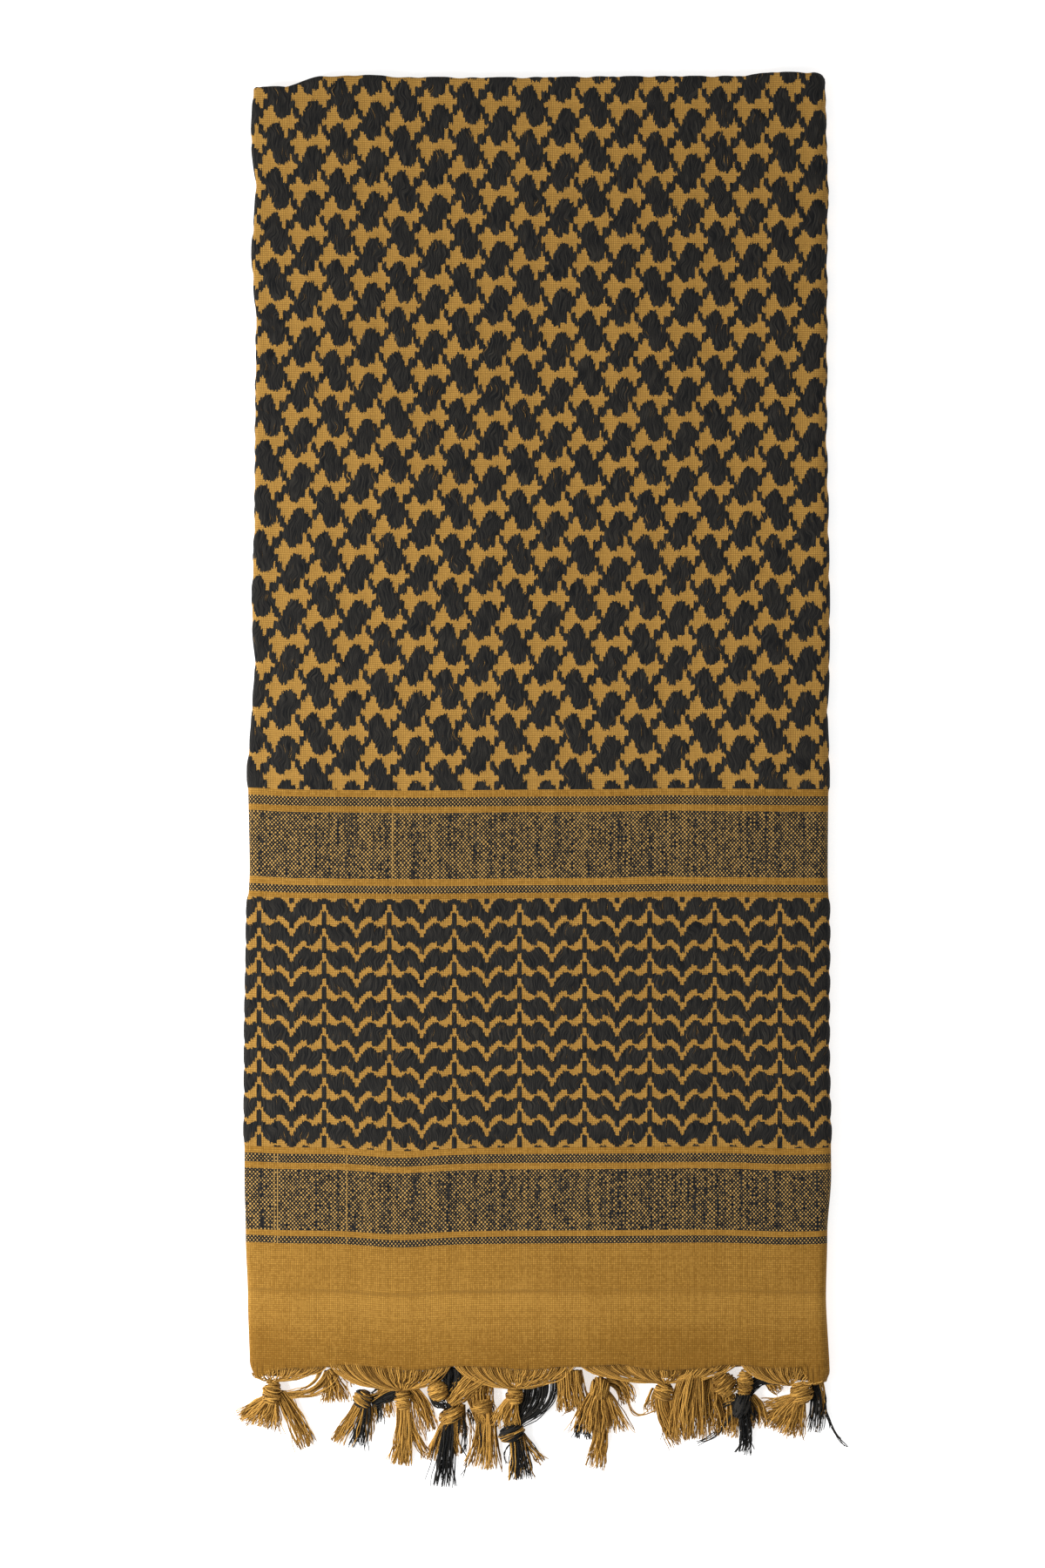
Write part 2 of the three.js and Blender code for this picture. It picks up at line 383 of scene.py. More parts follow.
def settle(across, along, z, shows):
    """Lowers the stack towards its sides, where it is pressed flatter, then lifts and creases the
    front: long low swells, and the troughs of CREASES, each a soft groove whose depth fades
    towards its ends."""
    upper = np.clip((z - STACK / 2) / (STACK / 2), 0, 1)
    inset = np.minimum(across - side_edge(along, 1), side_edge(along, 2) - across)
    z = z - SIDE_PRESS * upper * (1 - smooth(inset, -6, 30))
    height = (
        0.16 * np.sin(across / 31 + along / 87 + 0.5)
        + 0.13 * np.sin(across / 17 - along / 53 + 2.1)
        + 0.10 * np.sin(along / 23 + across / 140)
    )
    for middle_across, middle_along, length, turn, width, depth in CREASES:
        cosine, sine = math.cos(math.radians(turn)), math.sin(math.radians(turn))
        aside, down = across - middle_across, along - middle_along
        run = aside * cosine + down * sine
        off = down * cosine - aside * sine
        fade = np.exp(-((run / (0.5 * length)) ** 4))
        height = height - depth * bell(off, 0, width) * fade
    return z + height * shows


def padded_tile(chart, cell_width, cell_depth, blur):
    """The chart's black floats as smooth mounds: each step split in six, blurred round and round
    the repeat with a bell as wide as blur, so that its edges meet."""
    fine = np.kron(1.0 - chart, np.ones((6, 6)))
    down = np.fft.fftfreq(fine.shape[0], cell_depth / 6)
    across = np.fft.fftfreq(fine.shape[1], cell_width / 6)
    bells = np.exp(-2 * (math.pi * blur) ** 2 * (down[:, None] ** 2 + across[None] ** 2))
    return np.fft.ifft2(np.fft.fft2(fine) * bells).real


def sampled(tile, across_share, down_share):
    """The tile's value at repeating shares of its width and depth, mixed from four neighbours."""
    column = (across_share % 1) * tile.shape[1] - 0.5
    row = (down_share % 1) * tile.shape[0] - 0.5
    c, r = np.floor(column).astype(int), np.floor(row).astype(int)
    fc, fr = column - c, row - r
    at = lambda dr, dc: tile[(r + dr) % tile.shape[0], (c + dc) % tile.shape[1]]
    upper = at(0, 0) * (1 - fc) + at(0, 1) * fc
    lower = at(1, 0) * (1 - fc) + at(1, 1) * fc
    return upper * (1 - fr) + lower * fr


def float_height(u, v):
    """How high the floats stand at a place on the cloth, from the two blurred charts."""
    net = padded_tile(net_chart(), NET_WIDTH / NET_COLUMNS, NET_DEPTH / NET_ROWS, 1.1)
    leaf = padded_tile(leaf_chart(), LEAF_WIDTH / LEAF_COLUMNS, LEAF_DEPTH / LEAF_ROWS, 0.9)
    in_net = 1 - smooth(v, NET_END - 0.6, NET_END + 0.8)
    in_leaf = smooth(v, LEAF_BEGIN - 0.8, LEAF_BEGIN + 0.6)
    in_leaf = in_leaf * (1 - smooth(v, LEAF_END - 1.2, LEAF_END + 0.4))
    net_down = (v - NET_START[1]) / NET_DEPTH + NET_FIRST_ROW / NET_ROWS
    on_net = sampled(net, (u - NET_START[0]) / NET_WIDTH, net_down)
    on_leaf = sampled(leaf, (u - LEAF_START[0]) / LEAF_WIDTH, (v - LEAF_START[1]) / LEAF_DEPTH)
    return in_net * on_net + in_leaf * on_leaf


# ---------------------------------------------------------------- meshes


def grid_quads(rows, columns, start=0):
    """Four-sided faces of a grid whose points run along each row in turn."""
    first = start + (np.arange(rows - 1)[:, None] * columns + np.arange(columns - 1)[None]).ravel()
    return np.stack([first, first + 1, first + columns + 1, first + columns], 1)


def zip_strip(fine, fine_share, coarse, coarse_share):
    """Triangles between two edges of different density whose points have rising shares: each
    edge's steps are joined to the point that the other edge has reached by then."""
    fine_middle = (fine_share[1:] + fine_share[:-1]) / 2
    coarse_middle = (coarse_share[1:] + coarse_share[:-1]) / 2
    reached_coarse = coarse[np.searchsorted(coarse_middle, fine_middle, "left")]
    reached_fine = fine[np.searchsorted(fine_middle, coarse_middle, "right")]
    fine_faces = np.stack([fine[:-1], fine[1:], reached_coarse], 1)
    coarse_faces = np.stack([coarse[1:], coarse[:-1], reached_fine], 1)
    return np.vstack([fine_faces, coarse_faces])


def placed(across, along, z):
    """Millimetres on the scarf to metres in the part's own frame."""
    return np.stack([across + SHIFT_ACROSS, SHIFT_ALONG - along, z], -1).reshape(-1, 3) * MM


def build(name, points, faces, material, uv=None, outward=True, map_name="Cloth"):
    """A mesh object from points and lists of faces, with a texture map from one pair of numbers
    for each point. Its faces are turned to point outwards, unless they already do."""
    mesh = bpy.data.meshes.new(name)
    mesh.from_pydata(points.tolist(), [], [face for block in faces for face in block.tolist()])
    if uv is not None:
        layer = mesh.uv_layers.new(name=map_name)
        corner = np.zeros(len(mesh.loops), np.int32)
        mesh.loops.foreach_get("vertex_index", corner)
        layer.data.foreach_set("uv", uv[corner].astype(np.float32).ravel())
    if outward:
        work = bmesh.new()
        work.from_mesh(mesh)
        bmesh.ops.recalc_face_normals(work, faces=work.faces)
        work.to_mesh(mesh)
        work.free()
    mesh.polygons.foreach_set("use_smooth", np.ones(len(mesh.polygons), bool))
    mesh.materials.append(material)
    piece = bpy.data.objects.new(name, mesh)
    bpy.context.scene.collection.objects.link(piece)
    return piece


def unit(vectors):
    """The same directions at length 1."""
    return vectors / np.maximum(np.linalg.norm(vectors, axis=-1, keepdims=True), 1e-9)


def normals_of(points):
    """Unit normals of a grid of points: the cross product of its two directions."""
    return unit(np.cross(np.gradient(points, axis=1), np.gradient(points, axis=0)))


def outer_ply(material):
    """The outermost ply. A fine outer skin follows the wrapped section, raised by its floats and
    settled by its creases; a coarse inner skin runs one ply inside it, and strips close the four
    edges between them."""
    skins = []
    for counts, panel_steps, roll_steps, inside in (
        ((7, 166, 11, 24), 384, 8, 0.0),
        ((5, 36, 7, 12), 60, 6, PLY),
    ):
        along, depth, on_cloth = stations(panel_steps, roll_steps, ROLL, inside)
        x, z, travelled, shows = wrap(along, depth + GROUND_DEPTH * (inside == 0), counts)
        plan = along[:, None] + 0 * x
        reach = np.clip(1 - plan / FOLD_FADE, 0, 1)
        far = fold_line(x) * reach
        near = woven_end(x) * smooth(plan, 570, 600)
        plan = plan - far + near
        u, v = thread_place(travelled, on_cloth[:, None] - far + near)
        z = settle(x, plan, z, shows)
        points = np.stack([x, plan, z], -1)
        if inside == 0:
            front = smooth(on_cloth, -2.5, 0)[:, None] * shows
            normal = normals_of(points)
            normal *= np.sign(normal[:, normal.shape[1] // 3, 2].mean())  # up on the front
            points = points + normal * (FLOAT_RISE * float_height(u, v) * front)[..., None]
            points[..., 2] = np.maximum(points[..., 2], 0.02)
        uv = np.stack([u, v], -1)
        skins.append({"points": points, "uv": uv, "along": on_cloth, "travelled": travelled})
    return close_skins("outer_ply_cloth", skins, material)


def close_skins(name, skins, material):
    """Joins a fine and a coarse grid of points into one closed mesh with a strip at each edge."""
    points, uvs, faces, numbers, start = [], [], [], [], 0
    for skin in skins:
        rows, columns = skin["points"].shape[:2]
        numbers.append(start + np.arange(rows * columns).reshape(rows, columns))
        points.append(placed(*np.moveaxis(skin["points"], -1, 0)))
        uvs.append(skin["uv"].reshape(-1, 2))
        faces.append(grid_quads(rows, columns, start))
        start += rows * columns
    fine, coarse = numbers
    for line in (0, -1):
        around = [skin["travelled"][line] for skin in skins]
        down = [skin["along"] for skin in skins]
        share = lambda values: (values - values[0]) / (values[-1] - values[0])
        faces.append(zip_strip(fine[line], share(around[0]), coarse[line], share(around[1])))
        faces.append(zip_strip(fine[:, line], share(down[0]), coarse[:, line], share(down[1])))
    return build(name, np.vstack(points), faces, material, np.vstack(uvs))


def inner_plies(material):
    """The plies inside the wrap, as one solid. A closed outline in the along-height plane is
    carried across the scarf: two doubled folds bulge at the far end, and six ply ends at the
    fringe end, each with its own waver. A round cap of faces closes each side."""
    across = np.linspace(-1, 1, 150)[:, None]
    place = across * 130.5
    levels = 7

    def lobes(low, high, count, reach):
        """Half rounds stacked from low to high: heights, and how far each point stands out."""
        angle = np.linspace(0, math.pi, levels + 1)
        tall = (high - low) / count
        heights = low + tall * (np.arange(count)[:, None] + (1 - np.cos(angle)) / 2)
        return heights.ravel(), np.tile(reach * np.sin(angle) ** 0.7, count)

    far_z, far_bulge = lobes(2.5, 7.5, 2, 1.9)
    near_z, near_bulge = lobes(1.6, 8.4, 6, 1.1)
    ply = np.repeat(np.arange(6), levels + 1)[None]
    fold = np.repeat(np.arange(2), levels + 1)[None]
    far = 3.4 - far_bulge[None] - fold_line(place) + 0.9 * np.sin(place / 23 + 2.4 * fold)
    far = far + 0.5 * np.sin(place / 7.0 + 1.9 * fold) * bell(far_bulge[None], 1.9, 0.8)
    near = 598.2 + near_bulge[None] + 0.8 * np.sin(place / 13 + 1.7 * ply) + 0.3 * (ply % 2)
    near = near + 6.5 * smooth(place, 119, 126) * (ply > 3) + 0.5 * np.sin(place / 3.7 + 2.9 * ply)
    top = np.array([[14.0, 7.5], [18.0, 8.3], [300.0, 8.4], [590.0, 8.4]])
    bottom = np.array([[590.0, 1.6], [300.0, 1.6], [18.0, 1.7], [14.0, 2.5]])
    flat = 0 * place
    along = np.hstack([far, flat + top[:, 0], near[:, ::-1], flat + bottom[:, 0]])
    height = np.hstack([flat + far_z, flat + top[:, 1], flat + near_z[::-1], flat + bottom[:, 1]])
    points = np.stack([place + 0 * along, along, height], -1)
    rows, columns = along.shape
    numbers = np.arange(rows * columns).reshape(rows, columns)
    loop = np.hstack([numbers, numbers[:, :1]])
    sides = np.stack([loop[:-1, :-1], loop[:-1, 1:], loop[1:, 1:], loop[1:, :-1]], -1).reshape(-1, 4)
    centres = points[[0, -1]].mean(1)
    ends = [
        np.stack([loop[line, :-1], loop[line, 1:], np.full(columns, rows * columns + index)], 1)
        for index, line in enumerate((0, -1))
    ]
    everything = np.vstack([points.reshape(-1, 3), centres])
    uv = np.stack(thread_place(everything[:, 0] + 9.0, everything[:, 1] + everything[:, 2] * 0.9), -1)
    return build("inner_plies_cloth", placed(*everything.T), [sides, *ends], material, uv)


# ---------------------------------------------------------------- fringe


def bent(points, share):
    """A smooth line from the first point to the last, drawn towards those between: each share
    along it mixes them by the Bernstein polynomials."""
    points = np.asarray(points, float)
    last = len(points) - 1
    weights = [math.comb(last, i) * share**i * (1 - share) ** (last - i) for i in range(last + 1)]
    return sum(w[..., None] * point for w, point in zip(weights, points))


def bent_numbers(values, share):
    """The same for plain numbers, such as widths."""
    return bent(np.array(values, float)[:, None], share)[..., 0]


def tubes(paths, radius, sides):
    """Round threads along paths, an array of thread by step by three. Each step has a ring of
    points about the path, in the plane square to it, and each end a flat cap."""
    count, steps = paths.shape[:2]
    run = unit(np.gradient(paths, axis=1))
    level = unit(np.cross(run, [0.0, 0.0, 1.0]) + [0.0, 0.02, 0.0])
    upright = np.cross(level, run)
    angle = np.arange(sides) * 2 * math.pi / sides
    ring = level[:, :, None] * np.cos(angle)[:, None] + upright[:, :, None] * np.sin(angle)[:, None]
    radius = np.broadcast_to(radius, (count, steps))
    points = paths[:, :, None] + ring * radius[:, :, None, None]
    numbers = np.arange(count * steps * sides).reshape(count, steps, sides)
    turned = np.roll(numbers, -1, 2)
    walls = np.stack([numbers[:, :-1], numbers[:, 1:], turned[:, 1:], turned[:, :-1]], -1)
    caps = np.vstack([numbers[:, 0], numbers[:, -1, ::-1]])
    return points.reshape(-1, 3), walls.reshape(-1, 4), caps


STRAND_STEPS = 16
KNOT_THREAD, KNOT_TURNS = 0.30, 30


class Yarn:
    """The threads of one piece of the fringe, gathered up and then made into one mesh."""

    def __init__(self, seed):
        self.luck = np.random.default_rng(seed)
        self.points, self.faces, self.map, self.start = [], [], [], 0

    def lay(self, paths, radius, black, sides=5):
        """Adds threads along paths. black is the share of them that are black. In the map, a
        thread's first number is its shade, above 1 when it is black, and the second runs down it."""
        count, steps = paths.shape[:2]
        radius = np.broadcast_to(radius, (count, steps))
        paths = paths.copy()
        paths[..., 2] = np.maximum(paths[..., 2], radius + 0.08)
        points, walls, caps = tubes(paths, radius, sides)
        shade = self.luck.random(count) * 0.98 + (self.luck.random(count) < black) * 1.01
        step_length = np.linalg.norm(np.diff(paths, axis=1), axis=-1)
        down = np.hstack([np.zeros((count, 1)), np.cumsum(step_length, 1)])
        uv = np.stack([np.repeat(shade[:, None], steps, 1), down], -1)
        self.points.append(points)
        self.faces += [walls + self.start, caps + self.start]
        self.map.append(np.repeat(uv.reshape(-1, 2), sides, 0))
        self.start += len(points)

    def strand(self, route, width, height, count, black=0.0, thick=0.24, uneven=0.24, wave=0.65):
        """A bundle of threads along a route on the table: widths and heights are given along it,
        heights as the middle of the bundle, which is about half as thick as it is wide. Threads
        spread evenly over its oval section, end unevenly, waver, and some go astray. A few fatter
        ones lie inside it and fill it."""
        steps = np.linspace(0, 1, STRAND_STEPS)[None]
        share = steps * (1 - uneven * self.luck.random((count, 1)) ** 1.5)
        line = bent(route, share)
        run = unit(np.gradient(line, axis=1))
        aside = np.stack([-run[..., 1], run[..., 0]], -1)
        reach = np.sqrt(self.luck.random((count, 1)))
        angle = self.luck.random((count, 1)) * 2 * math.pi
        spread = bent_numbers(width, share) / 2
        wavers = self.luck.random((5, count, 1))
        off = 2 * wavers[4] - 1
        astray = (0.9 * off + 2.2 * off**5) * share**2.2 * (0.4 + spread / 8)
        sway = wave * share * (
            np.sin(2 * math.pi * (wavers[0] + share * (0.7 + wavers[1])))
            + 0.5 * np.sin(2 * math.pi * (wavers[2] + share * (1.8 + 1.5 * wavers[3])))
        )
        plan = line + aside * (reach * np.cos(angle) * spread + sway + astray)[..., None]
        middle = bent_numbers(height, share)
        flatness = 0.55 - 0.25 * share
        z = middle + reach * np.sin(angle) * spread * flatness + 0.3 * sway
        taper = 1 - 0.35 * steps**6
        self.lay(np.dstack([plan, z]), thick * taper, black, 4)
        filling = count // 5 if count > 10 else 0
        if filling:
            inside = (np.arange(filling)[:, None] + 0.5) / filling * 2 - 1
            share = steps * (0.90 - uneven * 0.6 - 0.1 * inside**2)
            line = bent(route, share)
            spread = bent_numbers(width, share) / 2
            plan = line + aside[:filling] * (inside * 0.72 * spread + 0.6 * sway[:filling])[..., None]
            middle = bent_numbers(height, share)
            lumps = 0.5 * (1 - 0.6 * share) * (1 - 0.5 * inside**2)
            self.lay(np.dstack([plan, middle - 0.2 * spread]), lumps, black, 5)

    def knot(self, at, size, turn, height, black=0.0):
        """A knot: threads wound side by side round a rounded lump. Each goes once and a bit round
        it, on a slant, and the lump is fattest at its middle. turn is how far its length leans
        from straight down the scarf, in degrees."""
        wide, long = size
        lean = math.radians(turn)
        axis = np.array([math.sin(lean), math.cos(lean), 0.0])
        level = np.array([math.cos(lean), -math.sin(lean), 0.0])
        centre = np.array([*at, height])
        core = np.linspace(-1, 1, 12)[None]
        round_off = np.sqrt(np.maximum(1 - core**2, 0.0))
        lump = centre + axis * core[..., None] * 0.42 * long
        self.lay(lump, 0.05 + round_off * 0.40 * wide, black, 12)
        luck = self.luck.random((6, KNOT_TURNS, 1))
        start = np.linspace(-0.88, 0.88, KNOT_TURNS)[:, None] + (luck[0] - 0.5) * 0.12
        angle = np.linspace(0, 2.3 * math.pi, 24)[None] + luck[1] * 2 * math.pi
        down = start + (0.08 + 0.30 * luck[2] ** 2) * np.sin(angle + 6 * luck[3]) * (1 - start**2)
        out = np.sqrt(np.maximum(1 - down**2, 0.04)) * wide / 2
        out = out * (0.93 + 0.14 * luck[4] + 0.07 * np.sin(2 * angle + 6 * luck[5]))
        paths = (
            centre
            + axis * (down * long / 2)[..., None]
            + level * (out * np.cos(angle))[..., None]
            + np.array([0.0, 0.0, 0.92]) * (out * np.sin(angle))[..., None]
        )
        self.lay(paths, KNOT_THREAD, black)

    def made(self, name, material):
        """The piece's mesh."""
        points, uv = placed(*np.vstack(self.points).T), np.vstack(self.map)
        return build(name, points, self.faces, material, uv, outward=False, map_name="Thread")


# The gathers of the plies beneath: how far their knots lie aside of the front ply's and short of
# them, the knots' height, and the height of the ply that they leave.
GATHERS_BENEATH = [
    (6, 2.0, 2.2, 0.7),
    (-9, 3.2, 5.0, 5.6),
    (13, 3.6, 3.6, 3.2),
]
GATHER_STEPS = 13
FIRST_WARP = -134.0
SAG = 0.22  # how far a long gather hangs below the straight way to its knot, as a share


def swags(yarn, knots, cloth_height):
    """Warp ends from the last pick to the knots: each sets off straight, then sweeps towards its
    knot, nearly level when it comes from far off, so that an arch opens between two knots."""
    left = FIRST_WARP
    for knot in knots:
        right = knot["arch"]
        foot = np.arange(left + 0.4, right - 0.2, WARP_PITCH)
        foot = foot + (yarn.luck.random(len(foot)) - 0.5) * 0.3
        x, along = knot["at"]
        away = foot - x
        spread = np.abs(away) / 30
        begin = CLOTH_LENGTH + woven_end(foot) - 1.2
        share = np.linspace(0, 1, GATHER_STEPS)[None]
        luck = yarn.luck.random((3, len(foot)))
        out = [foot, foot - 0.04 * away, foot - 0.40 * away, x + 0.22 * away, x + 0.02 * away]
        drop = along - begin
        down = [
            begin,
            begin + 0.42 * drop,
            begin + (0.80 + SAG * spread) * drop,
            along - 0.4 - 0.03 * drop,
            along + 0.6 + 0 * drop,
        ]
        plan_x = bent(np.stack(out)[..., None, None], share)[..., 0]
        plan_y = bent(np.stack(down)[..., None, None], share)[..., 0]
        ripple = 0.34 * np.sin(2 * math.pi * (luck[0][:, None] + share * 2.3)) * np.sin(math.pi * share)
        ripple = ripple + 0.7 * (luck[1][:, None] - 0.5) * np.sin(math.pi * share) ** 2
        z0 = cloth_height + 0.25 * (luck[1][:, None] - 0.5)
        z1 = knot["height"] + 1.6 * (luck[2][:, None] - 0.5)
        z = z0 + (z1 - z0) * share**1.4
        thick = 0.17 + 0.12 * yarn.luck.random((len(foot), 1))
        yarn.lay(np.dstack([plan_x + ripple, plan_y + ripple, z]), thick, 0.0, 4)
        left = right


def knot(at, size, turn, height, **finish):
    """A row of FRINGE for Yarn.knot."""
    return Yarn.knot, {"at": at, "size": size, "turn": turn, "height": height, **finish}


def strand(route, width, height, count, **finish):
    """A row of FRINGE for Yarn.strand."""
    return Yarn.strand, {"route": route, "width": width, "height": height, "count": count, **finish}


